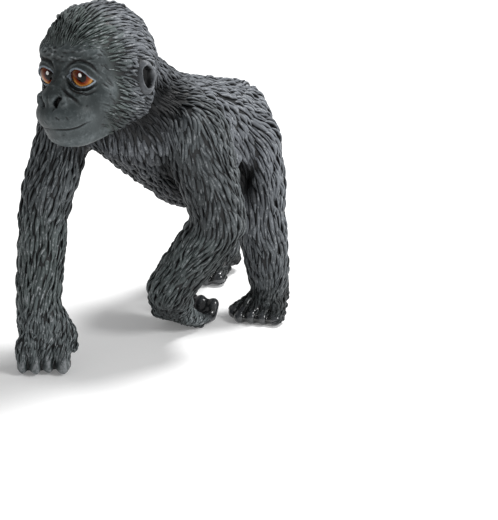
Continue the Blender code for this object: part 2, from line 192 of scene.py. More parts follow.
# %% Lay out the fingers and toes
HAND_BARE = {  # direction towards the finger ends, and where along it the coat stops, mm
    LEFT: ((0.0, 1.0, 0.0), 1.6, 3.6), RIGHT: ((0.0, 0.0, -1.0), -4.9, -2.9)}
TOES_BARE = (-0.36, -0.2)     # the coat fades out here towards the toes, in foot lengths
SOLE_BARE = (-1.6, -0.8)      # and here towards the sole, mm; both run down, so below 0


def bare_digits(points):
    """1 towards the finger and toe ends, 0 on the back of hand and foot."""
    bare = np.zeros(len(points))
    for side, word in SIDE_NAMES.items():
        hand, foot = word + "_hand", word + "_foot"
        way, start, end = HAND_BARE[side]
        bare = np.maximum(bare, near_box(points, hand, 0.5) * soft_step(points @ way, start, end))
        low, high = (np.array(corner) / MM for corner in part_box(foot))
        share = (points[:, 1] - low[1]) / (high[1] - low[1])
        ends = np.maximum(soft_step(-share, *TOES_BARE), soft_step(-points[:, 2], *SOLE_BARE))
        bare = np.maximum(bare, near_box(points, foot, 0.5) * ends)
    return bare


FINGER_PITCH = 2.15
FINGER_JOINTS = {  # knuckle, joint on the floor, last joint and tip, from the hand's middle
    LEFT: ((0.08, -0.34, -1.9), (0.28, 2.47, -4.25), (0.48, 5.3, -4.3), (0.48, 6.3, -2.3)),
    RIGHT: ((0.65, -0.5, -0.9), (1.55, -2.0, -4.8), (-0.35, 0.69, -4.85), (-0.75, 1.49, -3.0)),
}
THUMB_WAY = {LEFT: Vector((-1.0, 0.1, 0.0)), RIGHT: Vector((0.8, 0.6, 0.0))}
FINGER_RADII = (1.12, 1.1, 1.04, 1.06)
FINGER_REACH = (0.6, -0.2, 0.3, -0.5)         # how far forward each stands, thumb side first
ANKLE = {LEFT: Vector((-0.79, 2.3, 0.0)), RIGHT: Vector((0.39, 2.26, 0.0))}   # from the foot's
FINGER_LIFTS = (0.5, 0, 0, 1.2)               # how much a finger that stands forward curls up
TOE_COUNT, TOE_PITCH = 4, 1.95
FIRST_TOE = (((-2.1, 3.0, 2.6), 1.5), ((-2.8, 5.2, 1.9), 1.25), ((-3.2, 6.5, 1.35), 1.32))


def fingers(clay, side):
    hand = Vector(middle(SIDE_NAMES[side] + "_hand"))
    joints = [hand + Vector(joint) for joint in FINGER_JOINTS[side]]
    ahead = (joints[1] - joints[2]).normalized()
    for number, reach in enumerate(FINGER_REACH):
        shift = THUMB_WAY[side] * FINGER_PITCH * (1.5 - number) + ahead * reach
        curl = [Vector((0, 0, max(0, reach) * rise)) for rise in FINGER_LIFTS]
        bone(clay, [(joint + shift + lift, radius) for joint, lift, radius
                    in zip(joints, curl, FINGER_RADII)])


def toes(clay, side):
    """Four toes in a slanting row, and the thick first toe beside them."""
    word = SIDE_NAMES[side]
    ankle = Vector(middle(word + "_foot")) + ANKLE[side]
    ankle.z = 0

    def spot(across, ahead, up):
        return ankle + Vector((side * across, -ahead, up))

    for number in range(TOE_COUNT):
        across, reach = -1.35 + TOE_PITCH * number, 7.9 - 0.7 * number
        bone(clay, [(spot(across * 0.9, 4.6, 3.0), 1.2), (spot(across, reach - 2.0, 2.1), 1.0),
                    (spot(across, reach - 1.0, 1.5), 1.1), (spot(across, reach, 1.15), 1.18)])
    bone(clay, [(spot(*place), radius) for place, radius in FIRST_TOE])


print("digits:", len(SIDE_NAMES) * (len(FINGER_REACH) + TOE_COUNT + 1))

# %% Weld the flesh into one skin
SKIN_VOXEL = 0.3
SEAM_SMOOTHING = 6
DIGIT_SHRINK = {"left_hand": 1.5, "right_hand": 0.0, "left_foot": 0.9, "right_foot": 0.9}


def fill_hollow(clay):
    """Swaps a dished form for its hull."""
    hull = bmesh.ops.convex_hull(clay, input=clay.verts)
    bmesh.ops.delete(clay, geom=list({*hull["geom_interior"], *hull["geom_unused"]}),
                     context="VERTS")
    bmesh.ops.recalc_face_normals(clay, faces=clay.faces)


def welded_flesh():
    flesh = bmesh.new()
    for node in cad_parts:
        clay = merged_copy(node)
        if node.endswith("_ear"):
            fill_hollow(clay)
        points = np.array([vert.co for vert in clay.verts])
        ends = bare_digits(points) if node.endswith(("_hand", "_foot")) else np.zeros(len(points))
        for vert, end in zip(clay.verts, ends):
            vert.co += vert.normal * (SWELL - (SWELL + DIGIT_SHRINK.get(node, 0)) * end)
        mesh = bpy.data.meshes.new(node + "_clay")
        clay.to_mesh(mesh)
        flesh.from_mesh(mesh)
        clay.free()
    for side in SIDE_NAMES:
        fingers(flesh, side)
        toes(flesh, side)
    mesh = bpy.data.meshes.new("skin")
    flesh.to_mesh(mesh)
    flesh.free()
    obj = linked("skin", mesh)
    modify(obj, "REMESH", mode="VOXEL", voxel_size=SKIN_VOXEL)
    modify(obj, "SMOOTH", factor=0.5, iterations=SEAM_SMOOTHING)
    return freeze(obj)


skin = welded_flesh()
print("skin:", len(skin.data.polygons), "faces")

# %% [markdown]
# ## Finer mesh where the eye looks
#
# Lids, nostrils and lips are a few tenths of a millimetre wide.  Splitting the faces only
# there gives the strokes something to bite on, and keeps the rest of the skin light.

# %% Split the faces of the face and thin out the hidden skin
THINNING = 0.29           # share of the faces that is kept, all taken from under the coat
SPLIT_SMOOTHING = 3


def rows(source, name):
    values = np.empty(len(source) * 3, np.float32)
    source.foreach_get(name, values)
    return values.reshape(-1, 3).astype(float)


def coordinates(mesh):
    return rows(mesh.vertices, "co")


def vertex_normals(mesh):
    return rows(mesh.vertex_normals, "vector")


def put_coordinates(mesh, points):
    mesh.vertices.foreach_set("co", np.asarray(points, np.float32).ravel())
    mesh.update()


FLESH = sorted(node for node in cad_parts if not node.endswith("_eye"))
flesh_trees = {}
for node in FLESH:
    clay = merged_copy(node)
    flesh_trees[node] = BVHTree.FromBMesh(clay)
    clay.free()


def distances_to_nodes(points):
    """One row for each point: how far it is from each part of the flesh."""
    return np.array([[flesh_trees[node].find_nearest(point)[3] for node in FLESH]
                     for point in points])


def head_zone(points, back, side, low, high):
    """True in a block of the head: in front of `back`, within `side`, from low to high."""
    forward, left, up = on_head(points).T
    return (forward > back) & (np.abs(left) < side) & (up > low) & (up < high)


def face_zone(points):
    return head_zone(points, 2.5, 8.5, -11.5, 6.5)


def feature_zone(points):
    """Eyes, nose and mouth."""
    forward, left, up = on_head(points).T
    eyes = (np.hypot((np.abs(left) - 3.6) / 3.25, (up - 1.0) / 2.5) < 1) & (forward > 3.5)
    return eyes | head_zone(points, 6.0, 5.2, -7.4, 0)


def digit_zone(points):
    zone = np.zeros(len(points), bool)
    for word in SIDE_NAMES.values():
        for part in ("_hand", "_foot", "_ear"):
            zone |= near_box(points, word + part, 0.3)
    return zone


def split_faces(obj, zone):
    """Splits the faces of a zone in four and evens them out."""
    clay = bmesh.new()
    clay.from_mesh(obj.data)
    inside = zone(coordinates(obj.data))
    clay.verts.ensure_lookup_table()
    edges = [edge for edge in clay.edges
             if inside[edge.verts[0].index] and inside[edge.verts[1].index]]
    bmesh.ops.subdivide_edges(clay, edges=edges, cuts=1, use_grid_fill=True)
    inside = zone(np.array([vert.co for vert in clay.verts]))
    chosen = [vert for vert, near in zip(clay.verts, inside) if near]
    for _ in range(SPLIT_SMOOTHING):
        bmesh.ops.smooth_vert(clay, verts=chosen, factor=0.5, use_axis_x=True,
                              use_axis_y=True, use_axis_z=True)
    clay.to_mesh(obj.data)
    clay.free()


def thin_out(obj, zone, ratio):
    """Fewer faces wherever the coat will hide the skin."""
    plain = obj.vertex_groups.new(name="plain")
    plain.add(np.flatnonzero(~zone(coordinates(obj.data))).tolist(), 1.0, "REPLACE")
    modify(obj, "DECIMATE", ratio=ratio, vertex_group="plain")
    freeze(obj)
    obj.vertex_groups.clear()


thin_out(skin, lambda points: face_zone(points) | digit_zone(points), THINNING)
split_faces(skin, face_zone)
split_faces(skin, feature_zone)
print("skin after splitting:", len(skin.data.polygons), "faces")

# %% [markdown]
# ## How deep the skin lies
#
# The solid parts reach to the tips of the moulded strands.  Under fur the skin is drawn in by
# the strands' height, and on the bare face and the finger ends it keeps the solid's surface.

# %% Find what is bare, and draw the skin in
FUR_DEPTH = 0.28
BROW_FUR = 0.6            # how much shallower the short hair of the brow is
EDGE_OF_FACE = (  # (up, forward): the hair starts behind this line on the side of the face
    (-10.0, 3.0), (-8.6, 3.9), (-5.4, 5.4), (-4.1, 5.0), (-2.6, 4.2), (-0.6, 3.5), (1.5, 3.7),
    (3.6, 4.3), (5.3, 4.6))
HAIRLINE_UP = 5.7


def bare_face(points):
    """1 on the bare skin of the face, 0 on the fur round it."""
    forward, _, up = on_head(points).T
    ups, forwards = np.array(EDGE_OF_FACE).T
    side = soft_step(forward - np.interp(up, ups, forwards), -1.6, 0.9)
    return side * soft_step(HAIRLINE_UP - up, -1.6, 1.3) * soft_step(up, -11.0, -10.0)


def bare_skin(points):
    return np.maximum(bare_face(points), bare_digits(points))


def face_tint(points):
    """1 where the paint is the greenish black of the face and brow, 0 on the body."""
    forward, _, up = on_head(points).T
    return soft_step(forward, -0.5, 4.0) * soft_step(up, -13.0, -10.5) * (points[:, 2] > 30)


DRAWN_IN = (  # place on the body, reach and depth, where the form is slimmer than the solid
    ((-4.3, -26.6, 57.2), 3.2, 1.15), ((-2.0, -25.4, 59.0), 3.0, 0.8),      # forehead
    ((-5.7, -26.8, 55.2), 2.2, 0.5), ((-3.4, -25.4, 3.9), 1.1, 0.7),        # brow, right thumb
    ((1.0, 3.0, 43.5), 4.5, 0.35), ((2.5, 10.5, 42.2), 5.0, 0.45),          # back
    ((-2.5, 10.5, 42.2), 5.0, 0.45), ((0.0, 15.5, 41.5), 6.0, 0.5),
    ((6.0, 15.5, 39.5), 4.0, 0.4), ((-6.0, 15.5, 39.5), 4.0, 0.4),
    ((8.2, 8.6, 26.0), 2.0, 1.6),                                           # left arm and thigh
    ((6.5, -12.7, 44.4), 2.6, 0.7), ((-6.5, -12.7, 44.4), 2.6, 0.7))        # sides of the neck


def drawn_in(points):
    return np.max([depth * np.exp(-(np.linalg.norm(points - spot, axis=1) / reach) ** 2)
                   for spot, reach, depth in DRAWN_IN], axis=0)


points = coordinates(skin.data)
depth = FUR_DEPTH * (1 - bare_skin(points)) * (1 - BROW_FUR * face_tint(points))
points -= vertex_normals(skin.data) * (SWELL + depth + drawn_in(points))[:, None]
put_coordinates(skin.data, points)
print("skin drawn in, mm: up to", (depth + drawn_in(points)).max().round(2))

# %% [markdown]
# ## Strokes on the face
#
# A sculptor works a face like this with a small loop tool.  Each stroke here is a short curve
# through a few spots; points of the skin near it move in or out along their normals.  The
# stroke also leaves a mark in an attribute, so that the paint can lay painted shade in the groove
# it cut.

# %% A stroke tool
skin_normals = vertex_normals(skin.data)
skin_points = coordinates(skin.data)
shade = np.zeros(len(skin_points))            # how dark the paint lies in a stroke
STROKE_STEP = 0.06        # spacing of the points along a stroke, mm
STROKE_REACH = 2.2        # how far a stroke is felt, in its widths
STROKE_END = 0.25         # what is left of its height at either end


def curve_through(spots):
    """A smooth curve through some spots, as closely spaced points and shares of its length."""
    spots = [Vector(spot) for spot in spots]
    ends = [2 * spots[0] - spots[1]] + spots + [2 * spots[-1] - spots[-2]]
    points = []
    for before, start, end, after in zip(ends, ends[1:], ends[2:], ends[3:]):
        count = max(2, int((end - start).length / STROKE_STEP))
        for number in range(count):
            t = number / count
            points.append(0.5 * (2 * start + (end - before) * t
                          + (2 * before - 5 * start + 4 * end - after) * t ** 2
                          + (3 * start - before - 3 * end + after) * t ** 3))
    points.append(spots[-1])
    return points


def stroke(spots, width, height, darkness=0.0, sides=(LEFT, RIGHT), fade=0.25, axes=from_head):
    """Raises (or with a negative height cuts) the skin along a curve, by default on the head."""
    global skin_points
    tree = surface_tree(skin_points[tool_verts], tool_polys)
    for side in sides:
        curve = curve_through([(spot[0], spot[1] * side, spot[2]) for spot in spots])
        places = [tree.find_nearest(Vector(axes(point)))[0] for point in curve]
        near = point_tree(places)
        spread = np.array(places)
        reach = width * STROKE_REACH
        inside = ((skin_points > spread.min(axis=0) - reach)
                  & (skin_points < spread.max(axis=0) + reach)).all(axis=1)
        for index in tool_verts[inside[tool_verts]]:
            _, number, distance = near.find(skin_points[index])
            if distance < reach:
                share = number / (len(places) - 1)
                end = min(1, share / fade, (1 - share) / fade) if fade else 1
                push = math.exp(-(distance / width) ** 2) * (STROKE_END + (1 - STROKE_END) * end)
                skin_points[index] += skin_normals[index] * height * push
                shade[index] = max(shade[index], darkness * push)


def zone_mesh(zone):
    """The vertices and polygons of the skin in a zone, for the stroke tool."""
    inside = zone(skin_points)
    numbers = np.flatnonzero(inside)
    renumber = {old: new for new, old in enumerate(numbers)}
    polys = [[renumber[v] for v in poly.vertices] for poly in skin.data.polygons
             if all(inside[v] for v in poly.vertices)]
    return numbers, polys


tool_verts, tool_polys = zone_mesh(face_zone)
print("points under the stroke tool:", len(tool_verts))

# %% [markdown]
# ## Eyes and lids
#
# A lid is skin stretched over a ball.  Round each eye the skin is laid on a sphere just
# larger than the eye, and inside an almond outline it is pushed back behind the eye, which
# leaves a crisp rim.

# %% Open the lids
EYEBALL_SPOT = np.array((4.95, 3.3, 1.0))     # of the eye that is seen, on the head's axes
EYEBALL_RADIUS = 2.7
LID_THICKNESS = 0.25
LID_BAND = 0.35           # how far from its rim a lid follows the ball
HOLE_DEPTH = 0.45
LID_ZONE = ((3.75, 1.0), (3.3, 2.7))          # middle and half sizes of the skin it may move
RIM_SNAP = 0.09           # points this near the rim are drawn on to it
ALMOND = {  # the opening, as (left, up) on the head
    "upper": ((1.5, 1.0), (2.2, 1.8), (3.6, 2.2), (4.9, 1.65), (5.85, 0.25)),
    "lower": ((1.5, 1.0), (1.95, 0.15), (3.3, -0.5), (4.8, -0.4), (5.85, 0.25)),
}
CORNER_FORWARD = 7.4      # how far forward the inner corner stands, by the nose
CORNER_SLOPE = 0.8        # and how fast the tissue there falls back towards the ball
RELAX_PASSES, BORDER_PASSES = 250, 6


def almond_edge(edge, left):
    points = curve_through([(*spot, 0) for spot in ALMOND[edge]])
    return np.interp(left, [point.x for point in points], [point.y for point in points])


def edge_pairs(mesh):
    pairs = np.empty(len(mesh.edges) * 2, np.int64)
    mesh.edges.foreach_get("vertices", pairs)
    return pairs.reshape(-1, 2)


skin_pairs = edge_pairs(skin.data)


def relax(pairs, values, passes, free=None):
    """Evens out columns of values over a mesh: each free point moves to its neighbours' mean."""
    free = np.ones(len(values), bool) if free is None else free
    near = free[pairs].any(axis=1)
    ends = np.concatenate([pairs[near], pairs[near][:, ::-1]])
    ends = ends[free[ends[:, 0]]]
    count = np.maximum(np.bincount(ends[:, 0], minlength=len(free)), 1)
    values = np.array(values, float).reshape(len(free), -1)
    for _ in range(passes):
        total = np.stack([np.bincount(ends[:, 0], column[ends[:, 1]], len(free))
                          for column in values.T], axis=1)
        values[free] = (total / count[:, None])[free]
    return values


def ball_front(left, up, radius):
    """How far forward a ball at the eye reaches."""
    rest = radius ** 2 - (left - EYEBALL_SPOT[1]) ** 2 - (up - EYEBALL_SPOT[2]) ** 2
    return EYEBALL_SPOT[0] + np.sqrt(np.maximum(rest, 0.01))


def open_lids(side):
    """Lays the skin over the eye and opens an almond in it.  Returns marks for rim and hole."""
    spots = on_head(skin_points)
    spots[:, 1] *= side
    zone = np.hypot(*((spots[:, 1:] - LID_ZONE[0]) / LID_ZONE[1]).T)
    free = (zone < 1) & (spots[:, 0] > 0.5)
    spots[:, 1:] = relax(skin_pairs, spots[:, 1:], RELAX_PASSES, free)
    left, up = spots[:, 1], spots[:, 2]
    over, under = almond_edge("upper", left) - up, up - almond_edge("lower", left)
    inside = np.where((left > ALMOND["upper"][0][0]) & (left < ALMOND["upper"][-1][0]),
                      np.minimum(over, under), -1.0)
    on_rim = free & (np.abs(inside) < RIM_SNAP)
    up = np.where(on_rim, up + np.where(over < under, over, -under), up)
    hole = free & (inside >= RIM_SNAP)
    lid = free & (inside > -LID_BAND) & ~hole
    corner = CORNER_FORWARD - CORNER_SLOPE * (left - ALMOND["upper"][0][0])
    forward = spots[:, 0].copy()
    forward[lid] = np.maximum(ball_front(left, up, EYEBALL_RADIUS + LID_THICKNESS), corner)[lid]
    forward[hole] = ball_front(left, up, EYEBALL_RADIUS)[hole] - HOLE_DEPTH
    forward = relax(skin_pairs, forward, RELAX_PASSES, free & ~lid & ~hole)[:, 0]
    border = (np.abs(zone - 1) < 0.18) & (spots[:, 0] > 3) & ~lid & ~hole
    spots = np.stack([forward, left, up], axis=1)
    spots = relax(skin_pairs, spots, BORDER_PASSES, border)
    spots[:, 1] *= side
    moved = free | border
    skin_points[moved] = from_head(spots[moved])
    rim = np.exp(-(np.minimum(over, under) / 0.3) ** 2) * free
    span = soft_step(left, 1.2, 1.6) * soft_step(-left, -6.1, -5.7)
    return rim * span, hole.astype(float)


rims, corners = np.zeros(len(skin_points)), np.zeros(len(skin_points))
for side in SIDE_NAMES:
    rim, hole = open_lids(side)
    rims, corners = np.maximum(rims, rim), np.maximum(corners, hole)
put_coordinates(skin.data, skin_points)
print("points in the eye openings:", int(corners.sum()))

# %% [markdown]
# ## Folds and wrinkles
#
# A young ape's face is a map of soft folds: rings round the eyes, a wide nose with flared
# wings, and a thin mouth.  Each is one stroke, cut or raised.  A field of tiny wrinkles then
# breaks up the brow, the temple and the muzzle, since no real mould is quite smooth there.

# %% Folds of the lids, nose, mouth and brow
# The fold right under the lower lid, and the one round the bag below it.
stroke([(7.6, 1.3, 0.35), (7.7, 1.9, -0.45), (7.6, 3.2, -1.05), (7.1, 4.7, -0.95),
        (6.2, 5.9, -0.3)], 0.15, -0.16, 1.2)
stroke([(8.0, 1.5, -0.4), (8.1, 2.5, -1.3), (7.8, 3.8, -1.75), (7.1, 5.1, -1.5)],
       0.16, -0.14, 0.9)
# The dip of the nose's bridge, and the small pad in the eye's inner corner.
stroke([(7.7, 0.0, 3.0), (8.0, 0.0, 1.8), (8.3, 0.0, 0.6), (9.0, 0.0, -0.6)], 1.0, -0.55,
       sides=(LEFT,))
stroke([(8.2, 1.05, 0.9), (7.9, 1.35, 1.1)], 0.3, 0.22)
put_coordinates(skin.data, skin_points)
skin_normals = vertex_normals(skin.data)
# The crease over the upper lid, and the lid's swelling under it.
stroke([(7.4, 0.9, 1.9), (7.0, 2.1, 2.9), (6.6, 3.7, 3.3), (6.1, 5.2, 2.7), (5.6, 6.3, 0.9)],
       0.2, -0.2, 0.9)
stroke([(7.2, 1.7, 2.2), (6.9, 3.6, 2.75), (6.3, 5.1, 2.1), (5.8, 6.0, 0.8)], 0.22, 0.16)
# Under the eye: two cuts with a soft ridge between them.
stroke([(7.6, 1.7, 0.1), (7.6, 3.2, -0.95), (7.0, 4.5, -1.0), (6.1, 5.8, -0.4)],
       0.16, -0.2, 0.8)
stroke([(7.9, 1.9, -0.6), (7.7, 3.2, -1.6), (7.1, 4.6, -1.75), (6.2, 6.0, -1.1)],
       0.18, -0.2, 0.7)
stroke([(7.7, 1.9, -0.25), (7.6, 3.2, -1.3), (7.0, 4.5, -1.4)], 0.2, 0.14)
# The fold from nose to cheek, the wing of the nose, the groove of its tip, and the nostril.
stroke([(9.0, 1.6, 0.1), (9.2, 2.6, -0.9), (9.0, 3.6, -1.9), (8.6, 4.4, -2.9)],
       0.26, -0.34, 0.9)
stroke([(9.9, 2.2, -0.5), (10.2, 2.8, -1.4), (10.1, 2.9, -2.4), (10.2, 2.1, -3.1)], 0.4, 0.35)
stroke([(10.8, 0.0, -0.9), (11.2, 0.0, -2.0), (11.1, 0.0, -3.0)], 0.28, -0.2, 0.3,
       sides=(LEFT,))
stroke([(10.3, 2.2, -1.2), (10.9, 1.9, -1.8), (11.0, 1.4, -2.5), (11.0, 1.1, -2.9)],
       0.36, -1.0, 1.3, fade=0.1)
# The mouth, and the lower and the upper lip.
stroke([(10.8, 0.0, -6.3), (10.8, 1.3, -6.45), (10.3, 2.5, -6.5), (9.4, 3.7, -6.35),
        (8.4, 4.7, -5.9), (7.7, 5.1, -5.75)], 0.17, -0.22, 0.8, fade=0.2)
stroke([(10.9, 0.0, -7.0), (10.4, 1.6, -7.1), (9.6, 3.1, -7.0)], 0.5, 0.08)
stroke([(11.2, 0.0, -5.7), (10.8, 1.6, -5.8), (9.8, 3.2, -5.8)], 0.5, 0.06)
wrinkle_rng = np.random.default_rng(11)


def wrinkles(count, low, high, sizes, slopes, width, heights, forwards):
    """Short wrinkles in a field of (left, up) on the head.  Those that cut are darkened."""
    for left, up in wrinkle_rng.uniform(low, high, (count, 2)):
        size, slope = wrinkle_rng.uniform(*sizes), wrinkle_rng.uniform(*slopes)
        height = wrinkle_rng.choice(heights) * wrinkle_rng.uniform(0.6, 1.2)
        spots = [(forwards(left, up) - slide * size * 0.5, left + slide * size * math.cos(slope),
                  up + slide * size * math.sin(slope)) for slide in (-1, 0, 1)]
        stroke(spots, width, height, 0.7 * (height < 0), sides=(LEFT,), fade=0.4)


wrinkles(80, (-5.4, 2.9), (6.4, 6.2), (0.2, 0.8), (-0.5, 0.5), 0.15, (0.15, 0.12, -0.13),
         lambda left, up: 7.0 - 0.045 * left * left)
wrinkles(30, (6.2, -8.0), (8.6, 5.0), (0.5, 1.1), (-1.2, -0.4), 0.12, (-0.12, 0.08),
         lambda left, up: 5.6 - 0.4 * (left - 6.2))
wrinkles(26, (-4.0, -9.5), (5.5, -3.0), (0.15, 0.4), (-1.5, 1.5), 0.16, (0.08, -0.08),
         lambda left, up: 10.8 - 0.1 * left * left)

# %% [markdown]
# ## Ears
#
# The solid ear is a dish.  A real one folds twice: a rim outside, a slit behind it, a ridge,
# and the deep hollow in front.

# %% Fold the ears
EAR_SPOT = np.array((-2.45, 8.8, -1.2))       # middle of the left ear, on the head's axes
EAR_SIZE = (1.8, 2.75)                        # half its width and half its height
HOLLOW_PUSH, SLIT_PUSH, RIM_LIFT = 1.6, 0.9, 0.3


def ear_place(points):
    """Where points lie across and up an ear, from -1 to 1, and how far out from the head."""
    forward, left, up = on_head(points).T
    return (forward - EAR_SPOT[0]) / EAR_SIZE[0], (up - EAR_SPOT[2]) / EAR_SIZE[1], np.abs(left)


def on_ear(points):
    """True on the outer side of an ear, which is bare."""
    across, along, out = ear_place(points)
    return (np.hypot(across, along) < 1.02) & (out > EAR_SPOT[1] - 1.2)


def fold_ears():
    """Hollows the outer side of both ears.  Returns how much shade is painted in the folds at each
    point.
    """
    across, along, out = ear_place(skin_points)
    outside = soft_step(out - EAR_SPOT[1], -1.3, -0.5)
    hollow = soft_step(-np.hypot((across - 0.3) / 0.56, (along - 0.08) / 0.62), -1.15, -0.8)
    arc = np.hypot(across + 0.02, along)
    slit = np.exp(-((arc - 0.66) / 0.09) ** 2) * soft_step(-across, 0.25, 0.5)
    rim = np.exp(-((arc - 0.9) / 0.1) ** 2) * soft_step(-across, -0.75, -0.2)
    push = (HOLLOW_PUSH * hollow + SLIT_PUSH * slit - RIM_LIFT * rim) * outside
    near = (np.abs(push) > 0.01) & (np.hypot(across, along) < 1.3)
    spots = on_head(skin_points)
    spots[:, 1] -= push * np.sign(spots[:, 1])
    skin_points[near] = from_head(spots[near])
    return np.where(near, soft_step(np.maximum(hollow, slit), 0.05, 0.6) * outside, 0)


shade = np.maximum(shade, 1.2 * fold_ears())
put_coordinates(skin.data, skin_points)
print("points on the ears:", int(on_ear(skin_points).sum()))

# %% [markdown]
# ## Clefts between fingers and toes
#
# The digits lie side by side, so what tells them apart is the cleft between each two, painted dark
# as painted shade.
# The right fist stands in front, so its fingers are rounded one by one.  Between the toes one
# cut of the stroke tool does.

# %% Cut the clefts
FINGER_CLEFTS = (-4.5, -2.45, -0.25, 1.75, 4.4)       # across the right fist, thumb last
CLEFT_DEPTH = 1.15
TOE_REACH = (8.2, 7.9, 7.2, 6.5)                      # ends of the clefts, from the ankle


def round_fingers():
    """Rounds the fingers of the right fist, so that they meet in narrow clefts."""
    global shade
    hand = middle("right_hand")
    across = np.array(THUMB_WAY[RIGHT])
    run = (skin_points - hand) @ across
    which = np.clip(np.searchsorted(FINGER_CLEFTS, run) - 1, 0, 3)
    low, high = np.array(FINGER_CLEFTS)[[which, which + 1]]
    part = np.clip(2 * (run - low) / (high - low) - 1, -1, 1)
    dip = 1 - np.sqrt(1 - (0.96 * part) ** 2)
    dip *= np.exp(-(np.clip(np.abs(run) - FINGER_CLEFTS[-1], 0, 9) / 0.4) ** 2)
    level = skin_points[:, 2] + 0.5 * np.sin(2.1 * run)
    zone = near_box(skin_points, "right_hand", 0.5) * soft_step(-level, -6.3, -4.0)
    normals = vertex_normals(skin.data)
    normals -= (normals @ across)[:, None] * across
    skin_points[:] -= normals * (CLEFT_DEPTH * dip * zone)[:, None]
    shade = np.maximum(shade, zone * soft_step(np.abs(part), 0.72, 0.98) * (np.abs(run) < 3.4))


def toe_clefts(side):
    ankle = Vector(middle(SIDE_NAMES[side] + "_foot")) + ANKLE[side]
    ankle.z = 0
    for number, reach in enumerate(TOE_REACH):
        across = -2.55 + TOE_PITCH * number
        line = [(across * 0.92, 4.4, 4.2), (across, reach - 1.6, 3.0), (across, reach, 1.5),
                (across, reach + 0.2, 0.6)]
        stroke([ankle + Vector((side * a, -b, c)) for a, b, c in line], 0.26, -0.5, 1.2,
               (LEFT,), 0.15, np.asarray)


skin_normals = vertex_normals(skin.data)
tool_verts, tool_polys = zone_mesh(lambda points: digit_zone(points) & (points[:, 2] < 12))
round_fingers()
for side in SIDE_NAMES:
    toe_clefts(side)
put_coordinates(skin.data, skin_points)
print("points on hands and feet:", len(tool_verts))

# %% [markdown]
# ## Paint tools
#
# A material is easier to read as arithmetic.  `Value` wraps one socket, so that `mask * 0.5`
# adds the Math node itself, and every other node comes from the one method `Paint.node`.

# %% A small class for shader arithmetic
class Value:
    """One number, colour or vector inside a material."""

    def __init__(self, paint, socket):
        self.paint, self.socket = paint, socket

    def math(self, operation, first, second):
        return self.paint.node("Math", {"operation": operation}, {0: first, 1: second})

    def __add__(self, other):
        return self.math("ADD", self, other)

    def __sub__(self, other):
        return self.math("SUBTRACT", self, other)

    def __rsub__(self, other):
        return self.math("SUBTRACT", other, self)

    def __mul__(self, other):
        return self.math("MULTIPLY", self, other)

    def __pow__(self, other):
        return self.math("POWER", self, other)

    __radd__ = __add__
    __rmul__ = __mul__


class Paint:
    """A material with one Principled shader."""

    def __init__(self, name, **constants):
        self.material = bpy.data.materials.new(name)
        self.material.use_nodes = True
        self.nodes = self.material.node_tree.nodes
        self.shader = self.nodes["Principled BSDF"]
        self.place = self.node("TexCoord", output="Object")
        for socket, value in constants.items():
            self.shader.inputs[socket.replace("_", " ")].default_value = value

    def node(self, kind, settings=None, sockets=None, output=0):
        """Adds a node: its settings first, then the values or links of its sockets."""
        node = self.nodes.new("ShaderNode" + kind)
        for key, value in (settings or {}).items():
            if key == "stops":
                for number, (position, colour) in enumerate(value):
                    ramp = node.color_ramp.elements
                    stop = ramp[number] if number < 2 else ramp.new(position)
                    stop.position, stop.color = position, (*colour, 1)
            else:
                setattr(node, key, value)
        for key, value in (sockets or {}).items():
            self.feed(node.inputs[key], value)
        return Value(self, node.outputs[output])

    def feed(self, socket, value):
        if isinstance(value, Value):
            self.material.node_tree.links.new(value.socket, socket)
        else:
            socket.default_value = value

    def attribute(self, name):
        return self.node("Attribute", {"attribute_name": name}, output="Fac")

    def noise(self, scale, detail=3.0, roughness=0.55, place=None):
        """Blotches from 0 to 1, so many to the metre."""
        return self.node("TexNoise", {}, {"Vector": place or self.place, "Scale": scale,
                                          "Detail": detail, "Roughness": roughness})

    def step(self, value, low, high):
        """0 below the low value, 1 above the high one, smooth between."""
        return self.node("MapRange", {"interpolation_type": "SMOOTHSTEP"},
                         {"Value": value, "From Min": low, "From Max": high})

    def mix(self, share, first, second):
        return self.node("Mix", {"data_type": "RGBA"}, {0: share, 6: first, 7: second}, output=2)

    def bump(self, height, distance, strength):
        return self.node("Bump", {}, {"Height": height, "Distance": distance,
                                      "Strength": strength})

    def finish(self, **sockets):
        for name, value in sockets.items():
            self.feed(self.shader.inputs[name.replace("_", " ")], value)
        return self.material


def add_attribute(mesh, name, values):
    attribute = mesh.attributes.new(name, "FLOAT", "POINT")
    attribute.data.foreach_set("value", np.asarray(values, np.float32))


# %% [markdown]
# ## Marks for the paint
#
# The figure was dipped dark and then dry-brushed: a nearly dry brush leaves grey only on what
# stands proud.  Shade is painted as well, in the cuts, the eye sockets and the face's broad
# hollows.  The skin therefore carries three marks at each point: how bare it is, how deep in a
# groove it lies, and how much it stands above its neighbourhood.

# %% Mark the skin
RELIEF_PASSES, FORM_PASSES = 8, 60            # the more passes, the broader the form
skin_normals = vertex_normals(skin.data)


def relief(passes):
    """How far each point stands above (or below) the form round it, in millimetres."""
    even = relax(skin_pairs, skin_points, passes)
    return ((skin_points - even) * skin_normals).sum(axis=1)


def eye_shadow(points):
    """1 where shade is painted in the eye sockets and on the bridge of the nose."""
    _, left, up = on_head(points).T
    socket = np.exp(-((np.abs(left) - 3.4) / 2.9) ** 4 - ((up - 0.9) / 2.6) ** 4)
    bridge = np.exp(-(left / 1.8) ** 2 - ((up - 0.6) / 2.4) ** 2)
    return np.maximum(socket, bridge) * bare_face(points)


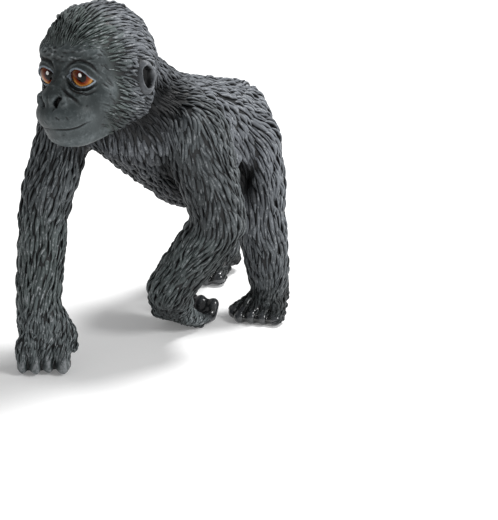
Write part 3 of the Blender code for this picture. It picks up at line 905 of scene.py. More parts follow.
skin_relief = relief(RELIEF_PASSES)
add_attribute(skin.data, "form", np.clip(relief(FORM_PASSES) / 0.5, -1, 1))
add_attribute(skin.data, "bare", bare_skin(skin_points))
add_attribute(skin.data, "digits", bare_digits(skin_points) * (
    1 - 0.75 * near_box(skin_points, "right_hand", 0.5)))
across, along, out = ear_place(skin_points)
add_attribute(skin.data, "ear", soft_step(-np.hypot(across, along), -1.15, -0.95) * (out > 6.5))
add_attribute(skin.data, "shade", np.clip(shade, 0, 1))
add_attribute(skin.data, "proud", np.clip(skin_relief / 0.12, -1, 1))
add_attribute(skin.data, "lid_rim", rims)
add_attribute(skin.data, "eye_shadow", eye_shadow(skin_points))
add_attribute(skin.data, "eye_corner", corners)
print("relief, mm:", skin_relief.min().round(2), "to", skin_relief.max().round(2))

# %% [markdown]
# ## Eyes
#
# Each eye is a glossy ball, set so that its pole looks where the animal looks.  Rings round
# the pole are then rings of the iris, and an attribute hands the paint how far each point is
# from the middle of the pupil.

# %% Make the eyes
GAZE_TURN = {LEFT: math.radians(22), RIGHT: math.radians(16)}       # both look to the left
CORNEA_SPAN, CORNEA_RISE = 1.5, 0.14


def eye(side):
    clay = bmesh.new()
    bmesh.ops.create_uvsphere(clay, u_segments=64, v_segments=48, radius=EYEBALL_RADIUS)
    for vert in clay.verts:
        out = math.hypot(vert.co.x, vert.co.y)
        if vert.co.z > 0 and out < CORNEA_SPAN:
            vert.co.z += CORNEA_RISE * (1 - (out / CORNEA_SPAN) ** 2) ** 2
    flat = np.array([(vert.co.x * side, vert.co.y, vert.co.z) for vert in clay.verts])
    ring = np.where(flat[:, 2] > 0, np.hypot(flat[:, 0], flat[:, 1]), 9)
    gaze = Vector((math.cos(GAZE_TURN[side]), math.sin(GAZE_TURN[side]), 0.0))
    turn = gaze.to_track_quat("Z", "Y").to_matrix()
    centre = Vector((EYEBALL_SPOT[0], EYEBALL_SPOT[1] * side, EYEBALL_SPOT[2]))
    for vert in clay.verts:
        vert.co = head_axes @ (turn @ vert.co + centre) + head_middle
    bmesh.ops.recalc_face_normals(clay, faces=clay.faces)
    mesh = bpy.data.meshes.new("eye_" + SIDE_NAMES[side])
    clay.to_mesh(mesh)
    clay.free()
    for name, values in (("ring", ring), ("leftward", flat[:, 0] * side), ("upward", flat[:, 1])):
        add_attribute(mesh, name, values)
    mesh.shade_smooth()
    return linked(mesh.name, mesh)


eyes = {side: eye(side) for side in SIDE_NAMES}
print("eyes across, mm:", 2 * EYEBALL_RADIUS)

# %% [markdown]
# ## The lie of the coat
#
# Hair grows in a flow: back over the crown, down the arms, to the rear along the flanks.  The
# flow is first laid out on a coarse copy of the skin, where each point takes the direction of
# the parts of the body nearest to it, and is then smoothed and given a little wander.

# %% Lay out the flow on a coarse guide
GUIDE_VOXEL = 1.0
TEMPLE = np.array((2.5, 7.2, 4.5))            # middle of the whorl on the left temple
SWIRL_REACH = 2.6
WANDER = math.radians(26)
FLOW_PASSES, HOLLOW_PASSES = 4, 14


def unit(vectors):
    return vectors / np.maximum(np.linalg.norm(vectors, axis=-1, keepdims=True), 1e-9)


def make_guide():
    obj = linked("guide", skin.data.copy())
    modify(obj, "REMESH", mode="VOXEL", voxel_size=GUIDE_VOXEL)
    modify(obj, "TRIANGULATE")
    freeze(obj)
    bpy.context.view_layer.objects.active = obj
    obj.select_set(True)
    bpy.ops.object.mode_set(mode="EDIT")
    bpy.ops.mesh.select_all(action="SELECT")
    bpy.ops.uv.smart_project(angle_limit=math.radians(66), island_margin=0.003)
    bpy.ops.object.mode_set(mode="OBJECT")
    return obj


def head_flow(points):
    """Back over the crown, back and down on the cheek, with a whorl on either temple."""
    forward, left, up = on_head(points).T
    flat = np.zeros(len(up))
    crown = np.stack([flat - 1, 0.03 * left, -0.1 - 0.6 * soft_step(-forward, 0, 8)], 1)
    cheek = np.stack([flat - 0.8, flat, flat - 0.62], 1)
    nape = np.stack([flat - 0.3, flat, flat - 1], 1)
    high = soft_step(up, -1.0, 4.5)[:, None]
    back = soft_step(-forward, 4.0, 8.0)[:, None] * soft_step(-up, -7.0, 0.0)[:, None]
    flow = unit(cheek) * (1 - high) + unit(crown) * high
    flow = flow * (1 - back) + unit(nape) * back
    over = up - TEMPLE[2]
    away = np.hypot(forward - TEMPLE[0], over)
    around = np.stack([-np.abs(over), flat, (forward - TEMPLE[0]) * np.sign(over)], 1)
    around = unit(around + np.array((-0.25, 0, 0)))
    bend = (np.exp(-(away / SWIRL_REACH) ** 2) * soft_step(np.abs(left), 4.0, 6.5))[:, None]
    return unit(flow * (1 - 0.8 * bend) + around * 0.8 * bend) @ np.array(head_axes).T


def trunk_flow(points):
    """To the rear along the back, down the flanks, and down over the rump."""
    low, high = (np.array(corner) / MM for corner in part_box("trunk"))
    top = soft_step((points[:, 2] - low[2]) / (high[2] - low[2]), 0.62, 0.92)[:, None]
    rump = soft_step(points[:, 1], 22.0, 31.0)[:, None]
    flow = np.array((0, 0.62, -0.78)) * (1 - top) + np.array((0, 1, -0.15)) * top
    return unit(flow * (1 - rump) + np.array((0, 0.25, -1)) * rump)


def limb_flow(start, end):
    """The long axis of a part of a limb, turned down the limb."""
    points = coordinates(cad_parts[start].data)
    axis = np.linalg.svd(points - points.mean(axis=0), full_matrices=False)[2][0]
    return axis * np.sign(axis @ np.array(middle(end) - middle(start)))


def node_flows(points):
    """One direction for each point and each part of the flesh."""
    flows = {"head": head_flow(points), "trunk": trunk_flow(points),
             "neck": np.array((0, 0.75, -0.66))}
    for word in SIDE_NAMES.values():
        for start, end in (("_upper_arm", "_forearm"), ("_forearm", "_hand"),
                           ("_thigh", "_shin"), ("_shin", "_foot")):
            flows[word + start] = limb_flow(word + start, word + end)
        flows[word + "_hand"] = np.array((0, -0.5, -0.86))
        flows[word + "_foot"] = np.array((0, -0.95, -0.3))
        flows[word + "_ear"] = head_flow(points)
    return np.stack([np.broadcast_to(flows[node], points.shape) for node in FLESH], axis=1)


def laid_flat(vectors):
    """Directions laid on the guide's surface, of length one."""
    return unit(vectors - guide_normals * (vectors * guide_normals).sum(axis=1)[:, None])


guide = make_guide()
guide_points, guide_normals = coordinates(guide.data), vertex_normals(guide.data)
closeness = 1 / (0.6 + distances_to_nodes(guide_points)) ** 3
guide_home = closeness.argmax(axis=1)
flow = (node_flows(guide_points) * closeness[:, :, None]).sum(axis=1)
guide_pairs = edge_pairs(guide.data)
for _ in range(FLOW_PASSES):
    flow = relax(guide_pairs, laid_flat(flow), 3)
flow = laid_flat(flow)
wander = np.array([WANDER * (noise.noise(Vector(point) * 0.16) + 0.6 * noise.noise(
    Vector(point) * 0.45 + Vector((7, 3, 1)))) for point in guide_points])[:, None]
flow = flow * np.cos(wander) + np.cross(guide_normals, flow) * np.sin(wander)
hollows = ((guide_points - relax(guide_pairs, guide_points, HOLLOW_PASSES))
           * guide_normals).sum(axis=1)         # below 0 in a hollow between two forms
print("guide points:", len(guide_points), "hollows to", hollows.min().round(2), "mm")

# %% [markdown]
# ## Strands of moulded fur
#
# The sculptor cut the coat as strands: each one a long shallow ridge, pointed at both ends,
# that overlaps the next.  Roots are scattered over the skin, more closely across the flow
# than along it.  From each root a strand is walked over the skin along the flow.

# %% Scatter the roots
CANDIDATES = 64000
rng = np.random.default_rng(7)
STRANDS = {  # kind of coat: length, width and height of its strands, mm
    "body": (4.8, 0.9, 0.44), "arm": (4.4, 0.82, 0.4), "crown": (3.7, 0.6, 0.36),
    "cheek": (3.4, 0.6, 0.36), "brow": (2.8, 0.46, 0.2), "paw": (2.2, 0.6, 0.28)}
SPREAD_ACROSS, SPREAD_ALONG = 0.55, 0.42      # spacing of the roots, in widths and lengths
FINE_SHARE = 0.3                              # finer strands laid over the broad ones
FINE_SIZES = (0.8, 0.34, 0.75)
FINE_SCATTER = 0.35                           # how far from the broad ones they root, mm
SIZE_JITTER = (0.2, 0.24, 0.3)                # of length, width and height
CLUMP = 0.35                                  # how much the relief swells and fades in patches
BARE_FADE = (0.15, 0.3, 0.6)                  # how much smaller strands get by the bare skin


def scatter_points(mesh, count):
    mesh.calc_loop_triangles()
    corners = np.empty(len(mesh.loop_triangles) * 3, np.int32)
    mesh.loop_triangles.foreach_get("vertices", corners)
    first, second, third = (coordinates(mesh)[corners.reshape(-1, 3)[:, k]] for k in range(3))
    area = np.linalg.norm(np.cross(second - first, third - first), axis=1)
    chosen = rng.choice(len(area), count, p=area / area.sum())
    u, v = rng.random((2, count, 1))
    u, v = np.where(u + v > 1, 1 - u, u), np.where(u + v > 1, 1 - v, v)
    return first[chosen] + u * (second - first)[chosen] + v * (third - first)[chosen]


def strand_sizes(points, homes):
    """Length, width and height of the strand that grows at each point."""
    forward, _, up = on_head(points).T
    sizes = np.empty((len(points), 3))
    for number, home in enumerate(homes):
        node = FLESH[home]
        kind = "arm" if "arm" in node or "shin" in node else "body"
        if node in ("head", "neck") or node.endswith("_ear"):
            kind = "cheek" if up[number] < 0.5 else "crown"
            kind = "brow" if forward[number] > 4.5 and up[number] > 3 else kind
        if node.endswith("_hand") or node.endswith("_foot"):
            kind = "paw"
        sizes[number] = STRANDS[kind]
    return sizes


guide_sizes = relax(guide_pairs, strand_sizes(guide_points, guide_home), 3)
guide_tree = point_tree(guide_points)
roots = scatter_points(skin.data, CANDIDATES)
roots = roots[(bare_skin(roots) < 0.9) & (roots[:, 2] > 0.4) & ~on_ear(roots)]
root_guide = np.array([guide_tree.find(point)[1] for point in roots])
root_tree = point_tree(roots)
alive = np.ones(len(roots), bool)
chosen = []
for number, point in enumerate(roots):
    if not alive[number]:
        continue
    chosen.append(number)
    near = root_guide[number]
    length, width, _ = guide_sizes[near]
    along = Vector(flow[near])
    for spot, other, _ in root_tree.find_range(point, length * SPREAD_ALONG):
        offset = spot - Vector(point)
        run = offset.dot(along)
        if (run / (length * SPREAD_ALONG)) ** 2 + (
                (offset - run * along).length / (width * SPREAD_ACROSS)) ** 2 < 1:
            alive[other] = False
roots, root_guide = roots[chosen], root_guide[chosen]
print("strands:", len(roots))

# %% [markdown]
# ## Laying each strand down
#
# A strand is longer than the curve of a shin or a cheek allows for a straight piece.  It is
# therefore walked: from its root one step along the flow, back down on the skin, and again.
# Most roots get one broad strand, and some a finer one across it, as a sculptor would go over
# the coat with a smaller tool.

# %% Walk the strands over the skin
STATIONS = 8
SHORTENINGS = (1, 0.6, 0.35)                  # tried in turn where a strand would reach an ear
skin_tree = surface_tree(skin_points, [tuple(poly.vertices) for poly in skin.data.polygons])


def walk(root, near, length):
    """Places and normals at even steps along the flow, from the root on."""
    place, normal, _, _ = skin_tree.find_nearest(Vector(root))
    step = length / (STATIONS - 1)
    places, normals = [], []
    direction = Vector(flow[near])
    for number in range(STATIONS):
        places.append(place)
        normals.append(normal)
        around = guide_tree.find_n(place, 3)
        goal = sum((Vector(flow[index]) / (distance + 0.2) for _, index, distance in around),
                   Vector())
        direction = direction * 0.4 + goal.normalized() * 0.6
        direction = (direction - normal * direction.dot(normal)).normalized()
        found = skin_tree.find_nearest(place + direction * step)
        place = found[0]
        normal = (normal + found[1] * 1.5).normalized()
    return places, normals


fine = rng.random(len(roots)) < FINE_SHARE
scatter = rng.normal(0, FINE_SCATTER, (int(fine.sum()), 3))
roots = np.concatenate([roots, roots[fine] + scatter])
root_guide = np.concatenate([root_guide, root_guide[fine]])
is_fine = np.arange(len(roots)) >= len(fine)
jitter = np.clip(rng.normal(1, SIZE_JITTER, (len(roots), 3)), 0.5, 1.7)
sizes = guide_sizes[root_guide] * jitter
sizes[is_fine] *= FINE_SIZES
clump = np.array([noise.noise(Vector(root) * 0.22) for root in roots])
sizes[:, 2] *= 1 + CLUMP * clump
sizes *= 1 - soft_step(bare_skin(roots), 0.05, 0.9)[:, None] * BARE_FADE
sizes[:, 2] *= 1 - 0.6 * soft_step(-hollows[root_guide], 0.1, 0.4)
paths = np.empty((len(roots), STATIONS, 2, 3))
kept = []
for number, root in enumerate(roots):
    for shorter in SHORTENINGS:
        places, normals = walk(root, root_guide[number], sizes[number, 0] * shorter)
        if not on_ear(np.array(places[-3:])).any():
            kept.append(number)
            sizes[number, 0] *= shorter
            paths[number, :, 0], paths[number, :, 1] = places, normals
            break
roots, root_guide, is_fine, sizes, paths = (
    values[kept] for values in (roots, root_guide, is_fine, sizes, paths))
print("strands laid down:", len(roots))

# %% [markdown]
# ## Bending a strand
#
# One small template, a ball with six sides, is bent along every path.  Its rings shrink
# towards both ends, its underside sinks in the skin, and its ridge carries the mark that the
# dry brush and the painted shade on its sides need.

# %% Bend the template along every path
RING_SIDES, RINGS = 6, 9
SHOULDER = (0.66, 0.8)    # across and up to a strand's two upper edges: a broad, flat ridge
SINK = 0.08               # how far the edges of a strand lie below the skin, in its widths
SWAY = 0.12               # how far a strand bends to one side and back, in widths
THICKNESS = 0.65          # half of a strand's height that its own section fills
ROOT_LIFT, TIP_LIFT, END_DIP = 0.35, 0.65, 0.5        # of its height: it rises, then dips
FINE_LIFT = 0.1           # how much higher the finer strands ride, mm
STRAND_LIMIT = 190000     # triangles in one piece of the coat
OFBAKE_PATCH = 0.003      # of the unwrap's width


def template_strand():
    clay = bmesh.new()
    bmesh.ops.create_uvsphere(clay, u_segments=RING_SIDES, v_segments=RINGS, radius=1)
    bmesh.ops.rotate(clay, cent=(0, 0, 0), matrix=Matrix.Rotation(math.radians(30), 3, "Z"),
                     verts=clay.verts)
    bmesh.ops.rotate(clay, cent=(0, 0, 0), matrix=Matrix.Rotation(math.radians(90), 3, "Y"),
                     verts=clay.verts)
    bmesh.ops.triangulate(clay, faces=clay.faces)
    bmesh.ops.recalc_face_normals(clay, faces=clay.faces)
    points = np.array([vert.co for vert in clay.verts])
    faces = np.array([[vert.index for vert in face.verts] for face in clay.faces])
    clay.free()
    return points, faces


template, template_faces = template_strand()
share = np.arccos(np.clip(template[:, 0], -1, 1)) / math.pi        # 0 at the root, 1 at the tip
spoke = unit(template[:, 1:] + 1e-9)
upper = (spoke[:, 1] > 0.3) & (spoke[:, 1] < 0.7)
spoke[upper] = np.sign(spoke[upper]) * SHOULDER
girth = np.sin(math.pi * share ** 0.75) ** 1.1
girth[np.abs(template[:, 0]) > 0.999] = 0
ridge = np.select([spoke[:, 1] > 0.9, upper], [1.0, 0.6], 0.0) * (girth > 0)


def bend_strands(numbers):
    """Vertices of the chosen strands: strand by strand, in the template's order.

    A strand lies flat at its root, rises along its length and dips back under at both ends.
    """
    spot = share * (STATIONS - 1)
    first = np.minimum(spot.astype(int), STATIONS - 2)
    part = (spot - first)[None, :, None]
    path, normal = paths[numbers, :, 0], unit(paths[numbers, :, 1])
    place = path[:, first] * (1 - part) + path[:, first + 1] * part
    above = unit(normal[:, first] * (1 - part) + normal[:, first + 1] * part)
    ahead = unit(np.gradient(path, axis=1))
    ahead = unit(ahead[:, first] * (1 - part) + ahead[:, first + 1] * part)
    aside = np.cross(above, ahead)
    length, width, height = (sizes[numbers, k][:, None, None] for k in range(3))
    sway = rng.normal(0, SWAY, (len(numbers), 1, 1)) * np.sin(2 * math.pi * share)[None, :, None]
    round_it = girth[None, :, None]
    rise = ROOT_LIFT + (TIP_LIFT - ROOT_LIFT) * share[None, :, None]
    lift = height * rise * round_it ** 0.5 - height * END_DIP * (1 - round_it)
    lift = lift + (is_fine[numbers] * FINE_LIFT)[:, None, None] * round_it - SINK * width
    points = place + aside * (width * (0.5 * spoke[None, :, :1] * round_it + sway))
    return points + above * (height * THICKNESS * spoke[None, :, 1:] * round_it + lift)


def strand_uvs(numbers):
    """A small patch for each strand, at its root's place on the guide's unwrap."""
    layer = guide.data.uv_layers[0].data
    tree = surface_tree(guide_points, [tuple(poly.vertices) for poly in guide.data.polygons])
    patches = np.empty((len(numbers), 2))
    for row, number in enumerate(numbers):
        spot, _, index, _ = tree.find_nearest(Vector(roots[number]))
        poly = guide.data.polygons[index]
        corners = [Vector(guide_points[vertex]) for vertex in poly.vertices]
        flat = [Vector((*layer[loop].uv, 0)) for loop in poly.loop_indices]
        patches[row] = barycentric_transform(spot, *corners, *flat)[:2]
    return patches[:, None, :] + OFBAKE_PATCH * np.stack([share - 0.5, spoke[:, 0] / 2], 1)[None]


def coat_piece(name, numbers):
    numbers = np.asarray(numbers)
    points = bend_strands(numbers)
    count, size = points.shape[:2]
    faces = (template_faces[None] + size * np.arange(count)[:, None, None]).reshape(-1, 3)
    mesh = bpy.data.meshes.new(name)
    mesh.vertices.add(count * size)
    mesh.loops.add(len(faces) * 3)
    mesh.polygons.add(len(faces))
    mesh.vertices.foreach_set("co", points.reshape(-1).astype(np.float32))
    mesh.loops.foreach_set("vertex_index", faces.reshape(-1).astype(np.int32))
    mesh.polygons.foreach_set("loop_start", np.arange(0, len(faces) * 3, 3, dtype=np.int32))
    mesh.update(calc_edges=True)
    layer = mesh.uv_layers.new(name="OFBake")
    layer.data.foreach_set("uv", strand_uvs(numbers).reshape(-1, 2)[faces.reshape(-1)]
                           .astype(np.float32).ravel())
    tone = rng.random((count, 1))
    add_attribute(mesh, "ridge", np.broadcast_to(ridge, (count, size)).ravel())
    add_attribute(mesh, "along", np.broadcast_to(share, (count, size)).ravel())
    add_attribute(mesh, "across", np.broadcast_to(spoke[:, 0] * girth, (count, size)).ravel())
    add_attribute(mesh, "tone", np.broadcast_to(tone, (count, size)).ravel())
    mesh.shade_smooth()
    return linked(name, mesh)


REGIONS = {"coat_head": ("head", "neck", "ear"), "coat_trunk": ("trunk",),
           "coat_arms": ("upper_arm", "forearm", "hand"), "coat_legs": ("thigh", "shin", "foot")}
homes = [FLESH[home] for home in guide_home[root_guide]]
per_piece = STRAND_LIMIT // len(template_faces)
coat = []
for region, endings in REGIONS.items():
    numbers = [number for number, home in enumerate(homes) if home.endswith(endings)]
    numbers.sort(key=lambda number: roots[number, 1])
    parts = math.ceil(len(numbers) / per_piece)
    for part in range(parts):
        low, high = (len(numbers) * end // parts for end in (part, part + 1))
        coat.append(coat_piece(f"{region}_{part + 1}", numbers[low:high]))
print("coat:", {piece.name: len(piece.data.polygons) for piece in coat})
bpy.data.objects.remove(guide)

# %% [markdown]
# ## Paint of the figure
#
# The vinyl is painted near-black, then dry-brushed in blue-grey.  So the groove colour lies
# deep, the grey on the forms, and a lighter, ragged line on the crests, partly a painted
# highlight.  Shade is painted too: darker in the grooves, the hollows between forms, on what
# faces down, and behind the jaw and before the thigh.  Face and limbs keep more of the dark,
# greenish base coat, and fingers and toes are varnished black.

# %% Colours, and how light and how green each part is
# GROOVE is the near-black base coat, also used as painted shade in grooves, cuts and hollows.
GROOVE = (0.0035, 0.004, 0.0045, 1)
GREY = (0.15, 0.161, 0.178, 1)
GREEN_GREY = (0.08, 0.101, 0.096, 1)
# CREST is the lightest dry brush; on the coat's crests it also serves as painted highlight.
CREST = (0.33, 0.345, 0.36, 1)
FACE = (0.046, 0.058, 0.061, 1)
FACE_DARK = (0.014, 0.019, 0.019, 1)
FACE_LIGHT = (0.13, 0.15, 0.155, 1)
LID = (0.27, 0.32, 0.37, 1)
NAIL = (0.012, 0.013, 0.014, 1)
PART_TONES = {  # of each part: how much light brush it got, and how green its base coat is
    "head": (0.95, 0.0), "neck": (0.6, 0.1), "trunk": (1.05, 0.0), "upper_arm": (0.62, 0.45),
    "forearm": (0.85, 0.8), "hand": (1.15, 0.6), "thigh": (0.85, 0.1), "shin": (0.7, 0.3),
    "foot": (0.2, 0.7), "ear": (0.9, 0.1)}
PAINTED_SHADE_PLACES = (  # place, reach and strength of painted shade behind the jaw and before the thigh
    ((6.5, -12.7, 44.4), 3.8, 0.8), ((5.9, -16.5, 41.0), 3.4, 0.75), ((8.2, 8.6, 26.0), 3.0, 0.95))
HOLLOW_DEPTH = 0.35       # of a hollow between two forms where painted shade lies, mm


def part_tones(points):
    near = 1 / (0.5 + distances_to_nodes(points)) ** 2
    table = np.array([PART_TONES[node.replace("left_", "").replace("right_", "")]
                      for node in FLESH])
    tone, green = ((near @ table) / near.sum(axis=1)[:, None]).T
    face = face_tint(points)
    return tone * (1 + 0.05 * face), np.maximum(green, face)


guide_tone_and_shade, guide_tint = part_tones(guide_points)
# Painted shade in the hollows between two forms.
guide_tone_and_shade *= 1 - 0.85 * soft_step(-hollows, 0.02, HOLLOW_DEPTH)
guide_tone_and_shade *= 1 + 0.35 * soft_step(hollows, 0.02, 0.25)                # the brush's high forms
guide_tone_and_shade *= 1 - 0.7 * soft_step(-guide_normals[:, 2], -0.1, 0.7)     # painted shade on what faces down
# Painted shade behind the jaw and before the thigh.
for side in SIDE_NAMES:
    for (x, y, z), reach, strength in PAINTED_SHADE_PLACES:
        away = np.linalg.norm(guide_points - (side * x, y, z), axis=1)
        guide_tone_and_shade *= 1 - strength * np.exp(-(away / reach) ** 4)


def mark(mesh, points, repeat=1):
    """Gives a mesh the markings of the guide's nearest points."""
    near = [guide_tree.find(point)[1] for point in points]
    add_attribute(mesh, "region", np.repeat(guide_tone_and_shade[near], repeat))
    add_attribute(mesh, "tint", np.repeat(guide_tint[near], repeat))


mark(skin.data, skin_points)
for piece in coat:
    mark(piece.data, coordinates(piece.data)[::len(template)], len(template))
print("light on the coat:", guide_tone_and_shade.min().round(2), "to", guide_tone_and_shade.max().round(2))

# %% Paint of the coat
def coat_paint():
    paint = Paint("fur_paint", Roughness=0.5, Specular_IOR_Level=0.2)
    ridge, tone = paint.attribute("ridge"), paint.attribute("tone")
    region, tint = paint.attribute("region"), paint.attribute("tint")
    across, along = paint.attribute("across"), paint.attribute("along")
    # Noise that is stretched along the strand makes its hairs, and `tone` makes each differ.
    lane = paint.node("CombineXYZ", {}, {0: across * 3.0, 1: along * 1.3, 2: tone * 40.0})
    hairs = paint.noise(2.0, 2.0, 0.6, lane)
    ragged = paint.noise(1500.0, 3.0, 0.65)
    # The strand's flat top takes the grey; its steep sides keep the near-black base coat, deepened
    # as painted shade in the slits.
    body = paint.step(ridge + (hairs - 0.5) * 0.5 + (ragged - 0.5) * 0.4, 0.32, 0.68)
    # The crest line: dry brush, lightened further as a painted highlight.
    crest = paint.step(ridge + (hairs - 0.5) * 0.9 + (ragged - 0.5) * 1.5, 0.92, 1.2)
    grey = paint.mix(tint, GREY, GREEN_GREY)
    # `region` carries each part's share of brush, together with the painted shade of hollows, of
    # what faces down, and behind the jaw and before the thigh.
    grey = paint.mix(region * (0.5 + tone * 0.45), GROOVE, grey)
    colour = paint.mix(body, GROOVE, grey)
    colour = paint.mix(crest * region * 0.75, colour, CREST)
    height = hairs * 0.7 + ragged * 0.3
    return paint.finish(Base_Color=colour, Normal=paint.bump(height, 0.00008, 0.7))


fur = coat_paint()
for piece in coat:
    piece.data.materials.append(fur)
print("painted pieces of the coat:", len(coat))

# %% [markdown]
# ## Paint of the skin
#
# The face keeps most of its dark base coat, with painted shade in its broad hollows and eye
# sockets.  Grey clings to what stands proud, a pale line follows the rims of the lids, specks of
# dry paint catch on the smallest bumps, and whatever a stroke cut is painted black as painted
# shade.  Between the strands the skin is nearly the groove's colour, darkened as painted shade.

# %% Paint of the skin
def skin_paint():
    paint = Paint("skin_paint", Specular_IOR_Level=0.35, Coat_Roughness=0.12)
    bare, digits = paint.attribute("bare"), paint.attribute("digits")
    cut, proud, form = (paint.attribute(name) for name in ("shade", "proud", "form"))
    rim, region, tint = (paint.attribute(name) for name in ("lid_rim", "region", "tint"))
    blotch, grain = paint.noise(260.0, 4.0), paint.noise(2200.0, 3.0, 0.7)
    lumps = paint.noise(900.0, 3.0, 0.6)
    light = paint.step(proud * 0.6 + form * 0.35 + lumps * 0.7 + grain * 0.8 + blotch * 0.3,
                       0.85, 1.45)
    # Painted shade in the face's broad hollows, broken up by blotches of darker paint.
    face = paint.mix(paint.step(form + blotch * 1.2, -0.1, 1.1), FACE_DARK, FACE)
    # Painted shade in the eye sockets and on the bridge of the nose.
    face = paint.mix(paint.attribute("eye_shadow") * 0.75, face, FACE_DARK)
    face = paint.mix(light * 0.8, face, FACE_LIGHT)
    lid = paint.step(rim + (grain - 0.5) * 0.5 + (lumps - 0.5) * 0.4, 0.3, 0.8)
    face = paint.mix(lid * 0.85, face, LID)
    face = paint.mix(paint.attribute("eye_corner") * 0.8, face, LID)
    specks = paint.step(grain * 0.9 + lumps * 0.6 + proud * 0.35, 0.99, 1.16)
    face = paint.mix(specks * 0.75, face, CREST)
    nail = paint.mix(paint.step(proud + (grain - 0.5) * 1.2, 0.2, 1.0) * 0.2, NAIL, GREY)
    # Under the coat the skin is the near-black base coat, darkened further as painted shade
    # between the strands.
    ground = paint.mix(tint, GREY, GREEN_GREY)
    ground = paint.mix(region * 0.05 + bare * 0.8, GROOVE, ground)
    finger = paint.mix(digits, face, nail)
    rimmed = paint.mix(region * (0.2 + lumps * 0.75), GROOVE, GREY)
    brushed = paint.step(proud * 0.7 + lumps + grain * 0.8, 1.1, 2.3)
    rimmed = paint.mix(brushed * 0.6, rimmed, CREST)
    ground = paint.mix(paint.attribute("ear"), ground, rimmed)
    colour = paint.mix(paint.step(bare + (grain - 0.5) * 0.5 + (lumps - 0.5) * 0.5, 0.2, 0.8),
                       ground, finger)
    # Painted shade: what a stroke cut, the clefts of the digits and the ear's hollow are painted
    # black.
    groove = paint.step(cut + (grain - 0.5) * 0.3 + (lumps - 0.5) * 0.5, 0.15, 0.75)
    colour = paint.mix(groove, colour, GROOVE)
    height = grain * 0.35 + lumps * 0.65
    return paint.finish(Base_Color=colour, Roughness=0.5 - digits * 0.34,
                        Coat_Weight=digits ** 2.0 * 0.8, Normal=paint.bump(height, 0.00014, 0.7))


skin.data.materials.clear()
skin.data.materials.append(skin_paint())
skin.data.shade_smooth()
print("marks on the skin:", [mark.name for mark in skin.data.attributes if mark.name[0] != "."])

# %% [markdown]
# ## Paint of the eyes
#
# An amber iris is painted as rings: dark at the pupil, brown, then orange, and dark at its
# edge.  Its upper half is painted darker, as painted shade of the upper lid.  The white spot is
# a painted highlight, a lamp's reflection painted on, and varnish over it all adds what the lamps
# give.

# %% Paint of the eyes
IRIS_RADIUS = 1.75
GLINT = (-0.2, 0.34, 0.27)                    # left and up from the pupil's middle, radius
GLINT_WHITE = (0.9, 0.9, 0.88, 1)
UNDER_LID = (1.25, 1.35)                      # so far up the ball goes dark, mm
IRIS_STOPS = (  # share of the iris radius, and the colour there; the ramp's own ends come first
    (0.0, (0.003, 0.002, 0.002)), (1.0, (0.06, 0.015, 0.008)), (0.42, (0.004, 0.003, 0.002)),
    (0.48, (0.13, 0.015, 0.004)), (0.6, (0.2, 0.035, 0.008)), (0.7, (0.34, 0.09, 0.015)),
    (0.86, (0.75, 0.36, 0.08)))
IRIS_DARK = (0.05, 0.007, 0.004, 1)


def eye_paint():
    paint = Paint("eye_varnish", Roughness=0.08, Coat_Weight=0.15, Coat_Roughness=0.03,
                  Specular_IOR_Level=0.1)
    ring, out, up = (paint.attribute(name) for name in ("ring", "leftward", "upward"))
    streaks = paint.noise(1.6, 3.0, 0.6, paint.node("CombineXYZ", {}, {0: out, 1: up, 2: 0.0}))
    share = ring * (1 / IRIS_RADIUS) + (streaks - 0.5) * 0.12
    iris = paint.node("ValToRGB", {"stops": IRIS_STOPS}, {"Fac": share})
    # Painted shade of the upper lid over the iris's upper half.
    lid_shade = paint.step(up * 0.45 - out * 0.35 + (streaks - 0.5) * 0.8, -0.15, 0.75)
    colour = paint.mix(lid_shade * 0.85, iris, IRIS_DARK)
    # A painted highlight: the white spot of a lamp's reflection, painted on the ball.
    glint = ((out - GLINT[0]) ** 2.0 + (up - GLINT[1]) ** 2.0) ** 0.5 + (streaks - 0.5) * 0.5
    colour = paint.mix(1 - paint.step(glint, GLINT[2] * 0.8, GLINT[2] * 1.2), colour,
                       GLINT_WHITE)
    colour = paint.mix(paint.step(up, *UNDER_LID), colour, FACE_DARK)
    return paint.finish(Base_Color=colour)


varnish = eye_paint()
for piece in eyes.values():
    piece.data.materials.append(varnish)
print("painted eyes:", len(eyes))

# %% [markdown]
# ## Back to metres
#
# All the work so far is in millimetres.  The finished meshes are scaled and hung on one empty,
# and the solid parts they stand in for are hidden.

# %% Scale, ride and replace
for piece in (skin, *coat, *eyes.values()):
    piece.data.transform(Matrix.Scale(MM, 4))
    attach(piece, "root")
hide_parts(*FLESH)
for side, piece in eyes.items():
    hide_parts(SIDE_NAMES[side] + "_eye")
print("pieces:", 1 + len(coat) + len(eyes))

# %% [markdown]
# ## Floor, light and camera
#
# The figure stands on a plain white table in soft light that comes mostly from above and
# behind its left side.

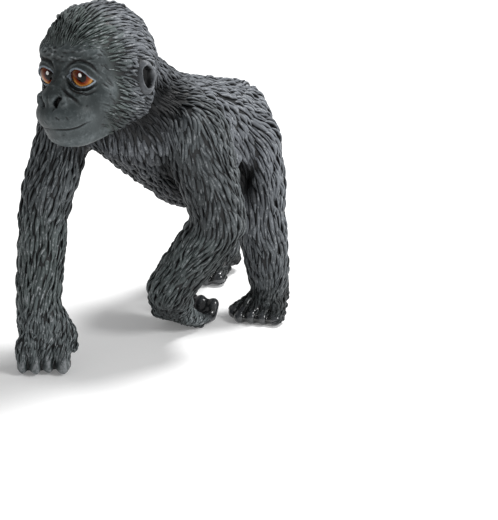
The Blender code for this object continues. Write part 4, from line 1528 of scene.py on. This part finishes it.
# %% Stage
FLOOR_REACH = 3.0         # all in metres from here on
LIGHT_AIM = (0.0, 0.0, 0.03)
KEY_PLACE, KEY_POWER = (0.17, 0.36, 0.72), 6.4
SIDE_PLACE, SIDE_POWER = (0.62, -0.02, 0.42), 2.4
LIGHT_SIZE = 0.26
WORLD_STRENGTH = 0.33
FOCAL_LENGTH, SENSOR_WIDTH = 116.3, 36.0
CAMERA_FROM_EYES = Vector((151.67, -202.04, 54.83))   # mm, as is the next
AIM_FROM_EYES = Vector((15.45, 26.44, -35.26))


def stage_floor():
    clay = bmesh.new()
    bmesh.ops.create_grid(clay, x_segments=2, y_segments=2, size=FLOOR_REACH)
    mesh = bpy.data.meshes.new("floor")
    clay.to_mesh(mesh)
    clay.free()
    mesh.materials.append(Paint("floor_white", Base_Color=(0.9, 0.9, 0.9, 1), Roughness=0.9,
                                Specular_IOR_Level=0.0, Emission_Color=(1, 1, 1, 1),
                                Emission_Strength=0.15).material)
    linked("floor", mesh)


def soft_light(name, place, power):
    light = bpy.data.lights.new(name, "AREA")
    light.shape, light.size, light.energy = "DISK", LIGHT_SIZE, power
    obj = linked(name, light)
    obj.location = place
    obj.rotation_euler = (Vector(LIGHT_AIM) - Vector(place)).to_track_quat("-Z", "Y").to_euler()


stage_floor()
soft_light("key", KEY_PLACE, KEY_POWER)
soft_light("side", SIDE_PLACE, SIDE_POWER)
world = bpy.data.worlds.new("studio")
world.use_nodes = True
world.node_tree.nodes["Background"].inputs["Color"].default_value = (1, 1, 1, 1)
world.node_tree.nodes["Background"].inputs["Strength"].default_value = WORLD_STRENGTH
bpy.context.scene.world = world
bpy.context.scene.view_settings.view_transform = "Standard"

camera = linked("camera", bpy.data.cameras.new("camera"))
bpy.context.scene.camera = camera
camera.data.lens, camera.data.sensor_width = FOCAL_LENGTH, SENSOR_WIDTH
camera.data.clip_start = 0.01
camera.location = (between_eyes + CAMERA_FROM_EYES) * MM
look = AIM_FROM_EYES - CAMERA_FROM_EYES
camera.rotation_euler = look.to_track_quat("-Z", "Y").to_euler()
print("camera, mm from the eyes:", round(CAMERA_FROM_EYES.length))

# %% [markdown]
# ## Finish
#
# The view layer is brought up to date once more.

# %% Finish
bpy.context.view_layer.update()
